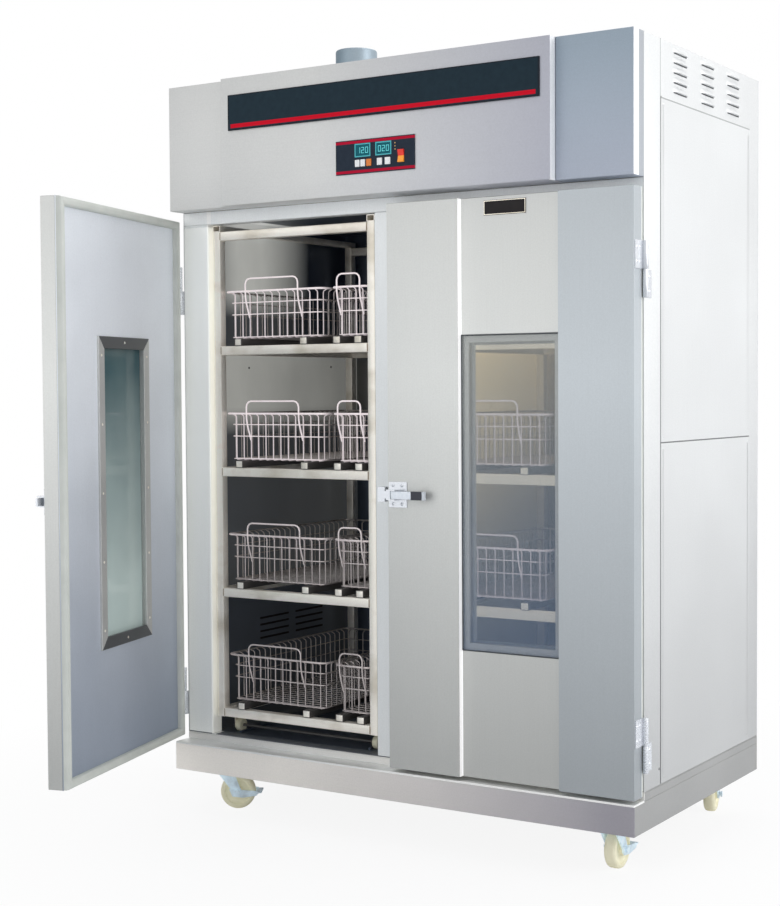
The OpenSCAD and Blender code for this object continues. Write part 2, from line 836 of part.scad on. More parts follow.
// Rubber seal round the inner sheet.
module door_seal() {
    low = seal_inset;
    high = seal_inset + seal_w;
    difference() {
        span([door_in + low, door_back_y, door_z + low],
             [half_w - low, door_back_y + seal_t, door_top - low]);
        span([door_in + high, door_back_y - cut, door_z + high],
             [half_w - high, door_back_y + seal_t + cut, door_top - high]);
    }
}

// The outer pane, flush with the recess, and the inner pane in the window's frame.
module door_glass() {
    mid_y = front_y + door_recess;
    gap = seal_rest;
    span([stile_in + gap, mid_y, window_z + gap], [stile_out - gap, mid_y + pane_t - gap, window_top - gap]);
    span([stile_in + pane_lap + gap, door_back_y - pane_set - pane_t, window_z + pane_lap + gap],
         [stile_out - pane_lap - gap, door_back_y - pane_set, window_top - pane_lap - gap]);
}

// Trim that holds the inner pane against the inner sheet.
module window_frame() {
    reach = 6;
    hole = pane_lap + reach;
    edge = hole - window_trim_w;
    difference() {
        span([stile_in + edge, door_back_y, window_z + edge],
             [stile_out - edge, door_back_y + window_trim_t, window_top - edge]);
        span([stile_in + hole, door_back_y - cut, window_z + hole],
             [stile_out - hole, door_back_y + window_trim_t + cut, window_top - hole]);
    }
}

module door_hardware() {
    for (z = hinge_zs) door_leaf(z);
    latch_body();
}

module left_door_shell() color("silver") left_door_place() door_shell();
module left_door_liner() color("lightsteelblue") left_door_place() door_liner();
module left_door_seal() color("ivory") left_door_place() door_seal();
module left_door_glass() color("lightblue", 0.4) left_door_place() door_glass();
module left_window_frame() color("slategray") left_door_place() window_frame();
module left_door_hardware() color("gainsboro") left_door_place() door_hardware();
module left_latch_lever() color("gainsboro") left_door_place() latch_lever();
module right_door_shell() color("silver") door_shell();
module right_door_liner() color("lightsteelblue") door_liner();
module right_door_seal() color("ivory") door_seal();
module right_door_glass() color("lightblue", 0.4) door_glass();
module right_window_frame() color("slategray") window_frame();
module right_door_hardware() color("gainsboro") door_hardware();
module right_latch_lever() color("gainsboro") latch_lever();

// ---------------------------------------------------------------- casters

module caster_place(i) {
    translate([CASTER_PLACE[i][0], CASTER_PLACE[i][1], 0]) rotate([0, 0, CASTER_TURN[i]]) children();
}

// Top plates, bolted under the plinth, with the raceway and kingpin of each swivel.
module caster_plates() {
    plate_l = 110;
    plate_w = 86;
    head_t = 3;
    plate_z = caster_h - caster_plate_t;
    bolt_x = plate_l / 2 - 12;
    bolt_y = plate_w / 2 - 12;
    color("dimgray")
        for (p = CASTER_PLACE)
            translate([p[0], p[1], 0]) {
                translate([-plate_l / 2, -plate_w / 2, plate_z]) cube([plate_l, plate_w, caster_plate_t]);
                translate([0, 0, fork_top + seal_rest]) cylinder(r = race_r, h = race_t);
                translate([0, 0, fork_top - crown_t - 1]) cylinder(r = kingpin_r, h = crown_t + 3);
                translate([0, 0, fork_top - crown_t - 0.5 - head_t]) cylinder(r = kingpin_r + 3, h = head_t);
                for (x = [-bolt_x, bolt_x])
                    for (y = [-bolt_y, bolt_y])
                        translate([x, y, plate_z - 4]) cylinder(r = 6, h = 4);
            }
}

// Swivelling fork: crown, two raked legs and the axle with its heads.
module caster_fork(i) {
    inner = fork_gap;
    outer = fork_gap + leg_t;
    head_r = 8;
    color("lightsteelblue")
        caster_place(i) {
            difference() {
                union() {
                    translate([0, 0, fork_top - crown_t]) cylinder(r = crown_r, h = crown_t);
                    for (side = [-1, 1])
                        translate([0, side * (inner + leg_t / 2) + leg_t / 2, 0])
                            rotate([90, 0, 0])
                                linear_extrude(leg_t) {
                                    polygon([[-24, fork_top], [24, fork_top],
                                             [caster_trail + 13, wheel_r], [caster_trail - 13, wheel_r]]);
                                    translate([caster_trail, wheel_r]) circle(r = 13);
                                }
                    span([-20, -outer, fork_top - crown_t], [20, outer, fork_top]);
                }
                translate([0, 0, fork_top - crown_t - cut])
                    cylinder(r = kingpin_r + pin_play, h = crown_t + 2 * cut);
            }
            translate([caster_trail, outer + strap_t + run, wheel_r])
                rotate([90, 0, 0]) cylinder(r = axle_r, h = 2 * (outer + strap_t + run));
            for (side = [-1, 1])
                translate([caster_trail, side * (outer + strap_t + run + 2) + 2, wheel_r])
                    rotate([90, 0, 0]) cylinder(r = head_r, h = 4);
        }
}

// Moulded wheel: rounded tread, dished faces and a hub that runs on the axle.
module caster_wheel(i) {
    half = wheel_w / 2;
    hub_r = 14;
    dish = 6;
    edge = 7;
    tread_in = wheel_r - 15;
    bore = axle_r + pin_play;
    hub = fork_gap - run;
    color("wheat")
        caster_place(i)
            translate([caster_trail, 0, wheel_r])
                rotate([90, 0, 0])
                    rotate_extrude($fn = 64)
                        polygon([[bore, -hub], [hub_r, -hub], [hub_r, -half + dish],
                                 [tread_in, -half + dish], [tread_in + 3, -half], [wheel_r - edge, -half],
                                 [wheel_r - 2, -half + edge - 2], [wheel_r, -half + edge + 3],
                                 [wheel_r, half - edge - 3], [wheel_r - 2, half - edge + 2],
                                 [wheel_r - edge, half], [tread_in + 3, half], [tread_in, half - dish],
                                 [hub_r, half - dish], [hub_r, hub], [bore, hub]]);
}

// Brake pedal: a strap on each side of the fork, joined by the foot plate behind the wheel.
module brake_pedal(i) {
    side_in = fork_gap + leg_t + run / 2;
    foot = pedal_reach;
    color("lightsteelblue")
        caster_place(i)
            translate([caster_trail, 0, wheel_r]) {
                difference() {
                    for (side = [-1, 1])
                        translate([0, side * (side_in + strap_t / 2) + strap_t / 2, 0])
                            rotate([90, 0, 0])
                                linear_extrude(strap_t)
                                    polygon([[-24, 10], [foot, 4], [foot + 6, -2],
                                             [foot, -9], [16, -15], [-14, -12]]);
                    translate([0, side_in + 2 * strap_t, 0]) rotate([90, 0, 0])
                        cylinder(r = axle_r + pin_play, h = 2 * (side_in + 2 * strap_t));
                }
                span([foot, -side_in - strap_t, -2], [foot + 14, side_in + strap_t, 2]);
            }
}

module front_left_fork() caster_fork(0);
module front_right_fork() caster_fork(1);
module rear_left_fork() caster_fork(2);
module rear_right_fork() caster_fork(3);
module front_left_wheel() caster_wheel(0);
module front_right_wheel() caster_wheel(1);
module rear_left_wheel() caster_wheel(2);
module rear_right_wheel() caster_wheel(3);
module front_left_brake_pedal() brake_pedal(0);
module front_right_brake_pedal() brake_pedal(1);

// ---------------------------------------------------------------- trolleys
// Drawn in the right bay; the left bay's is the same trolley, moved and not mirrored.

module left_bay() {
    translate([-2 * trolley_x, 0, 0]) children();
}

// Four posts, at each tier two cross rails, two side rails and four basket runners,
// and on top two cross rails and a guide rail along each side, all of them hollow.
module trolley_frame() {
    left = trolley_x - trolley_w / 2;
    right = trolley_x + trolley_w / 2 - tube;
    back = trolley_back - tube;
    rail_l = trolley_w - 2 * tube - 2 * seam;
    side_l = trolley_d - 2 * tube - 2 * seam;
    wide_edge = wide_rim / 2 - rim_out - 30;
    narrow_edge = narrow_rim / 2 - rim_out;
    for (x = [left, right]) {
        for (y = [trolley_front, back])
            tube_z(x, y, first_rail_z, post_top - first_rail_z);
        folded([x, trolley_front, post_top + seam], [x + tube, trolley_back, post_top + guide_h], tube_wall, 1);
    }
    for (y = [trolley_front, back]) tube_x(left + tube + seam, y, top_rail_z, rail_l);
    for (level = [0 : tiers - 1]) {
        z = first_rail_z + level * tier_pitch;
        runner_z = z + tube + seam;
        for (y = [trolley_front, back]) tube_x(left + tube + seam, y, z, rail_l);
        for (x = [left, right]) tube_y(x, trolley_front + tube + seam, z, side_l);
        for (x = [trolley_x - wide_off - wide_edge, trolley_x - wide_off + wide_edge - runner_w,
                  trolley_x + narrow_off - narrow_edge, trolley_x + narrow_off + narrow_edge - runner_w])
            folded([x, trolley_front, runner_z], [x + runner_w, trolley_back, runner_z + runner_t], tube_wall, 1);
    }
}

// Brackets that carry the axles under the lowest side rails.
module trolley_axles() {
    for (x = [trolley_x - trolley_w / 2 + tube, trolley_x + trolley_w / 2 - tube - axle_bracket_t])
        for (y = [trolley_front + wheel_setback, trolley_back - wheel_setback])
            span([x, y - 14, axle_z - 8], [x + axle_bracket_t, y + 14, first_rail_z + tube]);
}

// A wheel at each side on one cross axle.
module trolley_wheel_pair(y) {
    axle_half = trolley_reach + run + axle_bracket_t;
    translate([trolley_x, y, axle_z]) {
        for (side = [-1, 1])
            translate([side * (trolley_reach - trolley_wheel_w / 2) - trolley_wheel_w / 2, 0, 0])
                rotate([0, 90, 0]) cylinder(r = trolley_wheel_r, h = trolley_wheel_w);
        translate([-axle_half, 0, 0]) rotate([0, 90, 0]) cylinder(r = trolley_axle_r, h = 2 * axle_half);
    }
}

module axle_holes() {
    for (y = [trolley_front + wheel_setback, trolley_back - wheel_setback])
        translate([trolley_x - trolley_w / 2, y, axle_z])
            rotate([0, 90, 0]) cylinder(r = trolley_axle_r + pin_play, h = trolley_w);
}

module trolley_rack() {
    trolley_frame();
    difference() {
        trolley_axles();
        axle_holes();
    }
}

module left_trolley_frame() color("antiquewhite") left_bay() trolley_rack();
module left_trolley_front_wheels() color("ivory") left_bay() trolley_wheel_pair(trolley_front + wheel_setback);
module left_trolley_rear_wheels() color("ivory") left_bay() trolley_wheel_pair(trolley_back - wheel_setback);

module right_trolley() color("antiquewhite") {
    trolley_rack();
    trolley_wheel_pair(trolley_front + wheel_setback);
    trolley_wheel_pair(trolley_back - wheel_setback);
}

// ---------------------------------------------------------------- baskets

// Flat grille of upright bars, w wide and h high, lying on the XY plane.
module grille(w, h) {
    bars = round(w / wire_pitch);
    pitch = (w - wire_d) / bars;
    linear_extrude(wire_d)
        difference() {
            square([w, h]);
            for (i = [0 : bars - 1])
                translate([wire_d + i * pitch, wire_d]) square([pitch - wire_d, h - 2 * wire_d]);
        }
}

// One basket: floor, four grilles, the rim that stands out from them and the bail in front.
module basket(middle, rim_w, bail_w, tier) {
    low = first_rail_z + (tiers - tier) * tier_pitch + tube + 2 * seam + runner_t;
    body_w = rim_w - 2 * rim_out;
    left = middle - body_w / 2;
    wall_h = basket_h - rim_t - seam;
    body_front = basket_front + rim_out;
    body_l = basket_d - 2 * rim_out;
    rim_z = low + basket_h - rim_t;
    post = bail_w / 2 - bail_r;
    translate([left, body_front, low]) grille(body_w, body_l);
    for (y = [body_front + wire_d, body_front + body_l])
        translate([left, y, low + wire_d + seam])
            rotate([90, 0, 0]) grille(body_w, wall_h - wire_d - seam);
    for (x = [left, left + body_w - wire_d])
        translate([x, body_front + wire_d + seam, low + wire_d + seam])
            rotate([90, 0, 90]) grille(body_l - 2 * wire_d - 2 * seam, wall_h - wire_d - seam);
    for (x = [middle - rim_w / 2, middle + rim_w / 2 - rim_out - wire_d])
        span([x, basket_front, rim_z], [x + rim_out + wire_d, basket_front + basket_d, rim_z + rim_t]);
    for (y = [basket_front, basket_front + basket_d - rim_out - wire_d])
        span([middle - rim_w / 2 + rim_out + wire_d + seam, y, rim_z],
             [middle + rim_w / 2 - rim_out - wire_d - seam, y + rim_out + wire_d, rim_z + rim_t]);
    for (side = [-1, 1])
        translate([middle + side * post, basket_front - bail_r - seam, low + basket_h - bail_drop])
            cylinder(r = bail_r, h = bail_drop + bail_rise + bail_r);
    translate([middle - post + bail_r + seam, basket_front - bail_r - seam, low + basket_h + bail_rise])
        rotate([0, 90, 0]) cylinder(r = bail_r, h = 2 * (post - bail_r - seam));
}

module wide_basket(tier) basket(trolley_x - wide_off, wide_rim, wide_bail_w, tier);
module narrow_basket(tier) basket(trolley_x + narrow_off, narrow_rim, narrow_bail_w, tier);

module right_baskets() color("dimgray")
    for (tier = [1 : tiers]) {
        wide_basket(tier);
        narrow_basket(tier);
    }

module wide_basket_1() color("dimgray") left_bay() wide_basket(1);
module wide_basket_2() color("dimgray") left_bay() wide_basket(2);
module wide_basket_3() color("dimgray") left_bay() wide_basket(3);
module wide_basket_4() color("dimgray") left_bay() wide_basket(4);
module narrow_basket_1() color("dimgray") left_bay() narrow_basket(1);
module narrow_basket_2() color("dimgray") left_bay() narrow_basket(2);
module narrow_basket_3() color("dimgray") left_bay() narrow_basket(3);
module narrow_basket_4() color("dimgray") left_bay() narrow_basket(4);

// ---------------------------------------------------------------- what is drawn
base_plinth();
front_frame();
outer_casing();
rear_cover();
side_access_panels();
insulation();
chamber_liner();
heating_elements();
fan_motor();
fan_impeller();
header_fascia();
sign_plate();
control_panel();
display_board();
exhaust_collar();
cabinet_hardware();
time_up_key();
time_down_key();
start_key();
temperature_up_key();
temperature_down_key();
power_rocker();
caster_plates();
front_left_fork();
front_right_fork();
rear_left_fork();
rear_right_fork();
front_left_wheel();
front_right_wheel();
rear_left_wheel();
rear_right_wheel();
front_left_brake_pedal();
front_right_brake_pedal();
left_door_shell();
left_door_liner();
left_door_seal();
left_door_glass();
left_window_frame();
left_door_hardware();
left_latch_lever();
right_door_shell();
right_door_liner();
right_door_seal();
right_door_glass();
right_window_frame();
right_door_hardware();
right_latch_lever();
left_trolley_frame();
left_trolley_front_wheels();
left_trolley_rear_wheels();
right_trolley();
right_baskets();
wide_basket_1();
wide_basket_2();
wide_basket_3();
wide_basket_4();
narrow_basket_1();
narrow_basket_2();
narrow_basket_3();
narrow_basket_4();
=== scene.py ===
import json
from math import cos, pi, radians, sin

import bmesh
import bpy
import numpy as np
from mathutils import Matrix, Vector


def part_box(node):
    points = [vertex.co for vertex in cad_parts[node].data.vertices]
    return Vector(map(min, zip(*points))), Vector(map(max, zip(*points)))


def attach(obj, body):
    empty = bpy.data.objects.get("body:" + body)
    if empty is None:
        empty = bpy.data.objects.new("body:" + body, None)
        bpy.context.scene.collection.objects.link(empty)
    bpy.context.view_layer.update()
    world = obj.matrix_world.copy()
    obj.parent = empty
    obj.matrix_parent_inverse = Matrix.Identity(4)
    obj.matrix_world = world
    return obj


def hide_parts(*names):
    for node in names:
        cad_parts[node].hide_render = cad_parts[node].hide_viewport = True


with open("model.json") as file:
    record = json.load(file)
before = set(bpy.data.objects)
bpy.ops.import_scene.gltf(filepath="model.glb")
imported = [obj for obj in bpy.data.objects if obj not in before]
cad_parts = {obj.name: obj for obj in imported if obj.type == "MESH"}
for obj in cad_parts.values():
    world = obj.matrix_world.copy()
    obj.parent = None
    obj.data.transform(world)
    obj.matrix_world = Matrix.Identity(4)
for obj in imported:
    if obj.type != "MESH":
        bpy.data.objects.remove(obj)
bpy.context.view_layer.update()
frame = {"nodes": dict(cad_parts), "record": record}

# ---------------- camera
# The viewing place of the photograph: right of the cabinet and a little above its middle,
# with the picture taken to be 780 by 906.
picture_h, focal_px, sensor = 906, 1649.6, 36
eye = (2.3265, -4.0352, 1.1993)
yaw, pitch, roll = radians(-32.517), radians(2.21), radians(-0.354)
ahead = np.array([sin(yaw) * cos(pitch), cos(yaw) * cos(pitch), -sin(pitch)])
level = np.cross(ahead, (0, 0, 1))
level /= np.linalg.norm(level)
upright = np.cross(level, ahead)
right = cos(roll) * level + sin(roll) * upright
up = cos(roll) * upright - sin(roll) * level
lens = bpy.data.cameras.new("camera")
lens.sensor_width = sensor
lens.lens = focal_px / picture_h * sensor
camera = bpy.data.objects.new("camera", lens)
camera.matrix_world = Matrix([[right[i], up[i], -ahead[i], eye[i]] for i in range(3)] + [[0, 0, 0, 1]])
bpy.context.scene.collection.objects.link(camera)
bpy.context.scene.camera = camera
bpy.context.scene.view_settings.view_transform = "Standard"


# ---------------- floor and light
# A pale studio floor that turns white with distance, a white surround and three soft lamps.
# The lamp on the right is the strongest, because the cabinet's right side is its palest.
class Flow:
    """One socket of a node tree. Arithmetic on it adds Math nodes and gives their result."""

    def __init__(self, bench, socket):
        self.bench = bench
        self.socket = socket

    def maths(self, operation, first, second):
        return self.bench.node("ShaderNodeMath", {"operation": operation}, {0: first, 1: second})

    def __add__(self, other):
        return self.maths("ADD", self, other)

    def __sub__(self, other):
        return self.maths("SUBTRACT", self, other)

    def __rsub__(self, other):
        return self.maths("SUBTRACT", other, self)

    def __mul__(self, other):
        return self.maths("MULTIPLY", self, other)

    def __gt__(self, other):
        return self.maths("GREATER_THAN", self, other)

    def __lt__(self, other):
        return self.maths("LESS_THAN", self, other)

    __radd__ = __add__
    __rmul__ = __mul__

    def between(self, low, high):
        """1 where the value lies from low to high, and 0 elsewhere."""
        return (self > low) * (self < high)

    def ramp(self, low, high, first=0.0, last=1.0):
        """Straight from first at low to last at high, and level beyond."""
        return self.bench.node("ShaderNodeMapRange", {}, {0: self, 1: low, 2: high, 3: first, 4: last})


class Bench:
    """A node tree with one method for adding a node."""

    def __init__(self, tree):
        self.tree = tree

    def feed(self, socket, value):
        if isinstance(value, Flow):
            self.tree.links.new(value.socket, socket)
        else:
            socket.default_value = value

    def node(self, kind, settings={}, inputs={}, output=0):
        """Adds a node, sets and feeds it, and gives one of its outputs if it has any."""
        new = self.tree.nodes.new(kind)
        for key, value in settings.items():
            setattr(new, key, value)
        for key, value in inputs.items():
            self.feed(new.inputs[key], value)
        if new.outputs:
            return Flow(self, new.outputs[output])

    def blend(self, factor, first, second):
        """Two colours mixed by a factor."""
        return self.node("ShaderNodeMix", {"data_type": "RGBA"}, {0: factor, 6: first, 7: second}, 2)


def tint(red, green, blue):
    """A screen colour of 0 to 255 as light: ((c / 255 + 0.055) / 1.055) to the power 2.4."""
    light = ((np.array([red, green, blue]) / 255 + 0.055) / 1.055) ** 2.4
    return (*light.tolist(), 1.0)


white = (1, 1, 1, 1)
world = bpy.data.worlds.new("studio")
world.use_nodes = True
bpy.context.scene.world = world
surround = Bench(world.node_tree)
world.node_tree.nodes.clear()
lit = surround.node("ShaderNodeBackground", {}, {"Color": (0.94, 0.97, 1, 1), "Strength": 0.58})
shown = surround.node("ShaderNodeBackground", {}, {"Color": white, "Strength": 1})
# the rays that show the background: those of the camera, of gloss and through glass
seen = [surround.node("ShaderNodeLightPath", output=name)
        for name in ("Is Camera Ray", "Is Glossy Ray", "Is Transmission Ray")]
sees = (seen[0] + seen[1] + seen[2]).ramp(0, 1)
both = surround.node("ShaderNodeMixShader", {}, {0: sees, 1: lit, 2: shown})
surround.node("ShaderNodeOutputWorld", {}, {"Surface": both})

floor_far = 30.0
floor_corners = np.array([(-1, -1, 0), (1, -1, 0), (1, 1, 0), (-1, 1, 0)]) * floor_far
floor_mesh = bpy.data.meshes.new("floor")
floor_mesh.from_pydata(floor_corners.tolist(), [], [(0, 1, 2, 3)])
floor = bpy.data.objects.new("floor", floor_mesh)
bpy.context.scene.collection.objects.link(floor)
floor_paint = bpy.data.materials.new("pale_floor")
floor_paint.use_nodes = True
paint = Bench(floor_paint.node_tree)
floor_paint.node_tree.nodes.clear()
spot = paint.node("ShaderNodeTexCoord", output="Object")
distance = paint.node("ShaderNodeVectorMath", {"operation": "LENGTH"}, {0: spot}, "Value")
matt = paint.node("ShaderNodeBsdfDiffuse", {}, {"Color": (0.86, 0.86, 0.87, 1)})
glow = paint.node("ShaderNodeEmission", {}, {"Color": white, "Strength": 1})
camera_sees = paint.node("ShaderNodeLightPath", output="Is Camera Ray")
share = camera_sees * distance.ramp(0.7, 2.0, 0.9, 1)
floor_look = paint.node("ShaderNodeMixShader", {}, {0: share, 1: matt, 2: glow})
paint.node("ShaderNodeOutputMaterial", {}, {"Surface": floor_look})
floor_mesh.materials.append(floor_paint)


def lamp(name, place, aim, size, watts):
    light = bpy.data.lights.new(name, "AREA")
    light.size = size
    light.energy = watts
    holder = bpy.data.objects.new(name, light)
    back = np.subtract(place, aim)
    back /= np.linalg.norm(back)
    side = np.cross((0, 0, 1), back)
    side /= np.linalg.norm(side)
    top = np.cross(back, side)
    holder.matrix_world = Matrix([[side[i], top[i], back[i], place[i]] for i in range(3)] + [[0, 0, 0, 1]])
    bpy.context.scene.collection.objects.link(holder)


lamp("right_lamp", (4.8, 0.2, 2.4), (0.7, 0.1, 1.1), 2.8, 120)
lamp("front_lamp", (-2.4, -5.6, 2.4), (-0.2, -0.4, 1.0), 5.2, 66)
lamp("top_lamp", (0.2, 1.4, 4.8), (0, 0, 2.0), 2.4, 45)


# ---------------- base plinth
# Folded stainless sheet with a low ledge in front and mounting channels over the casters.
# The sheet is brushed along its length, and its folded edges are slightly rounded.
class Finish(Bench):
    """A material made of nodes, with the place on the part in metres."""

    def __init__(self, name):
        self.material = bpy.data.materials.new(name)
        self.material.use_nodes = True
        super().__init__(self.material.node_tree)
        self.shader = self.tree.nodes["Principled BSDF"]
        self.place = self.node("ShaderNodeTexCoord", output="Object")

    def along(self, axis):
        return self.node("ShaderNodeSeparateXYZ", {}, {0: self.place}, axis)

    def xyz(self):
        """The three coordinates of the place."""
        return [self.along(axis) for axis in "XYZ"]

    def noise(self, scale, stretch=(1, 1, 1), detail=2):
        """Cloudy noise on the place times a stretch, so that a small number draws it out."""
        at = self.node("ShaderNodeVectorMath", {"operation": "MULTIPLY"}, {0: self.place, 1: stretch})
        return self.node("ShaderNodeTexNoise", {}, {"Vector": at, "Scale": scale, "Detail": detail})

    def scaled(self, colour, amount):
        """A colour made lighter or darker by an amount."""
        if not isinstance(colour, Flow):
            colour = colour[:3]
        return self.node("ShaderNodeVectorMath", {"operation": "SCALE"}, {0: colour, "Scale": amount})

    def bump(self, height, strength, distance):
        return self.node("ShaderNodeBump", {}, {"Height": height, "Strength": strength, "Distance": distance})

    def surface(self, sockets):
        for name, value in sockets.items():
            self.feed(self.shader.inputs[name], value)
        return self.material


ALONG_Z = (1, 1, 0.012)
ALONG_X = (0.012, 1, 1)
ALONG_Y = (1, 0.012, 1)


def brushed(name, colour, grain=ALONG_Z, rough=0.48, metal=0.5, shade_by_height=(1, 1), heights=(0.2, 2.05),
            depth=0.09, cloud=0.1, patch=None, glow=None):
    """Brushed sheet: noise drawn out along the grain, fine specks and a slow cloud, under a painted shade
    that changes the colour's lightness with height, and an optional glow of painted light.
    """
    sheet = Finish(name)
    streak = sheet.noise(620, grain, 5)
    smear = sheet.noise(2.6, detail=3)
    speck = sheet.noise(260, detail=2)
    height_shading = sheet.along("Z").ramp(*heights, *shade_by_height)
    shade = height_shading * (1 + (streak - 0.5) * depth + (speck - 0.5) * 0.14 + (smear - 0.5) * cloud)
    base = patch(sheet, colour) if patch else colour
    if glow:
        sheet.surface({"Emission Color": glow(sheet), "Emission Strength": 1})
    return sheet.surface({
        "Base Color": sheet.scaled(base, shade), "Metallic": metal,
        "Roughness": rough + (smear - 0.5) * 0.16 + (streak - 0.5) * 0.14,
        "Normal": sheet.bump(streak, 0.1, 0.0004)})


def dress(material, *names):
    """Gives CAD nodes their finish."""
    for name in names:
        node = frame["nodes"][name]
        if not node.material_slots:
            node.data.materials.append(material)
        for holder in node.material_slots:
            holder.material = material


def soften(width, *names):
    """Rounds the edges of CAD nodes: their triangles are welded, and sharp edges get an arc."""
    for name in names:
        node = frame["nodes"][name]
        weld = node.modifiers.new("weld", "WELD")
        weld.merge_threshold = 0.00001
        arc = node.modifiers.new("edges", "BEVEL")
        arc.limit_method = "ANGLE"
        arc.angle_limit = radians(40)
        arc.width = width
        arc.segments = 2


def base_light_and_shade(sheet, colour):
    """Painted light and shade: the ledge's rim and the riser behind it are painted paler than the skirts, as
    highlights; the front is painted darker towards the right and the skirts grey, as shade.
    """
    x, y, z = sheet.xyz()
    ledge = z.between(0.1935, 0.2005) * (y < -0.36)
    riser = z.between(0.2005, 0.222) * (y < -0.36)
    front = sheet.blend(x.ramp(-0.35, 0.64), colour, tint(158, 155, 162))
    skirts = sheet.blend(y > -0.4165, front, tint(166, 166, 165))
    paler = sheet.blend(ledge, skirts, tint(246, 246, 244))
    return sheet.blend(riser, paler, tint(236, 234, 230))


base_steel = brushed("base_steel", tint(246, 241, 234), ALONG_X, patch=base_light_and_shade, cloud=0.3)
dress(base_steel, "base_plinth")
soften(0.0012, "base_plinth")

# ---------------- front frame and casing
# The frame round the two bays, side sheets with pressed louvre hoods, roof and rear cover.
# All stainless sheet with upright grain, palest on the sides.
def grid_faces(rows, columns, wrap_rows=False):
    """The quads of a grid whose columns close into a ring, and whose rows may."""
    row = np.arange(rows if wrap_rows else rows - 1)[:, None]
    column = np.arange(columns)[None, :]
    after = (column + 1) % columns
    below, above = row * columns, (row + 1) % rows * columns
    return np.stack([below + column, below + after, above + after, above + column], -1).reshape(-1, 4)


def cap_faces(first, count):
    """Quads that fill a convex ring of an even number of points."""
    i = np.arange(1, count - 2, 2)
    return np.stack([0 * i, i, i + 1, i + 2], -1) + first


def rings(points):
    """Rows of rings as one closed part: quads between the rows and a cap at each end."""
    rows, columns = points.shape[:2]
    faces = [grid_faces(rows, columns), cap_faces(0, columns), cap_faces((rows - 1) * columns, columns)]
    return points.reshape(-1, 3), np.vstack(faces)


def corner_arcs(steps):
    """Four quarter arcs: one's angles, the angles of all, and each point's corner as signs."""
    arc = np.linspace(0, pi / 2, steps + 1)
    turn = (np.arange(4)[:, None] * pi / 2 + arc).ravel()
    return arc, turn, np.repeat([1, -1, -1, 1], steps + 1), np.repeat([1, 1, -1, -1], steps + 1)


def slab(low, high, r=0.001, steps=2):
    """A box with rounded edges: middle + sign * (half size - r) + r * the direction of a sphere."""
    low, high = np.array(low, float), np.array(high, float)
    middle, half = (low + high) / 2, (high - low) / 2
    r = min(r, half.min() * 0.95)
    arc, turn, sign_x, sign_y = corner_arcs(steps)
    rise = np.concatenate([arc - pi / 2, arc])[:, None]
    sign_z = np.repeat([-1.0, 1.0], steps + 1)[:, None]
    ones = np.ones_like(turn)
    way = np.stack([np.cos(rise) * np.cos(turn), np.cos(rise) * np.sin(turn), np.sin(rise) * ones], -1)
    sign = np.stack([sign_x + 0 * rise, sign_y + 0 * rise, sign_z * ones], -1)
    return rings(middle + sign * (half - r) + r * way)


def put(name, parts, material, body, stands_for=(), place=None, crease=25):
    """Joins parts, each an array of points and one of quads, into one piece that rides on a body."""
    counts = np.cumsum([0] + [len(points) for points, _ in parts])
    points = np.vstack([points for points, _ in parts])
    faces = np.vstack([quads + count for (_, quads), count in zip(parts, counts)])
    if place:
        points = place(points)
    mesh = bpy.data.meshes.new(name)
    mesh.from_pydata(points.tolist(), [], faces.tolist())
    work = bmesh.new()
    work.from_mesh(mesh)
    bmesh.ops.remove_doubles(work, verts=work.verts, dist=0.000001)
    bmesh.ops.recalc_face_normals(work, faces=work.faces)
    work.to_mesh(mesh)
    work.free()
    mesh.shade_smooth()
    mesh.set_sharp_from_angle(angle=radians(crease))
    mesh.materials.append(material)
    piece = bpy.data.objects.new(name, mesh)
    bpy.context.scene.collection.objects.link(piece)
    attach(piece, body)
    if stands_for:
        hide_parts(*stands_for)


half_w, deck_z, top_z = 0.710, 0.218, 2.050
front_y, frame_y, back_y = -0.420, -0.362, 0.420
sheet_t = 0.003
hood_l, hood_h, hood_out = 0.092, 0.015, 0.0085
hood_in, hood_down, hood_step, hood_rise = 0.280, 0.119, 0.182, 0.0244
hood_places = [(front_y + hood_in + column * hood_step, top_z - hood_down + row * hood_rise)
               for column in range(3) for row in range(5)]
slot_in, slot_low, slot_high, slot_r = 0.005, 0.0028, 0.0004, 0.0003


def hood(y, z, side):
    """A pressed hood: it stands out by out * (1 - u^4) * sin(v * 90 degrees), v running down to the lip."""
    u = np.linspace(-1, 1, 11)[:, None]
    v = np.linspace(0, 1, 7)[None, 1:]
    swell = 1 - u ** 4
    x = half_w + hood_out * swell * np.sin(v * pi / 2)
    down = z + hood_h * (1 - v) + 0 * u
    inside = np.full((11, 1), half_w - 0.0005)
    x = np.hstack([inside, x, inside])
    down = np.hstack([0 * u + z + hood_h, down, 0 * u + z])
    return rings(np.stack([side * x, y + u * hood_l / 2 + 0 * x, down], -1))


def mottled(name, scale, detail, first, second, rough, uneven=0, sockets={}):
    """A finish that wanders between two screen colours with noise, as its roughness may."""
    coat = Finish(name)
    cloud = coat.noise(scale, detail=detail)
    return coat.surface({"Base Color": coat.blend(cloud, tint(*first), tint(*second)),
                         "Roughness": rough + cloud * uneven if uneven else rough, **sockets})


def jamb_light_and_shade(sheet, colour):
    """Painted light and shade: the sill is painted darker than the posts beside it, as shade, and the inner
    edge of a post palest, as a highlight.
    """
    low = sheet.along("Z") < 0.2202
    edge = sheet.along("X").between(-0.6245, -0.61)
    return sheet.blend(edge, sheet.blend(low, colour, tint(120, 124, 130)), tint(255, 255, 253))


def jamb_glow(sheet):
    """Light that the open door throws on the left post, most of it on the post's inner edge."""
    x, z = sheet.along("X"), sheet.along("Z")
    post = (x < -0.6) * z.between(0.221, 1.66) * z.ramp(0.3, 1.3, 0.6, 1.0)
    return sheet.scaled(tint(112, 112, 106), post * (1 + (x > -0.6245) * 0.9))


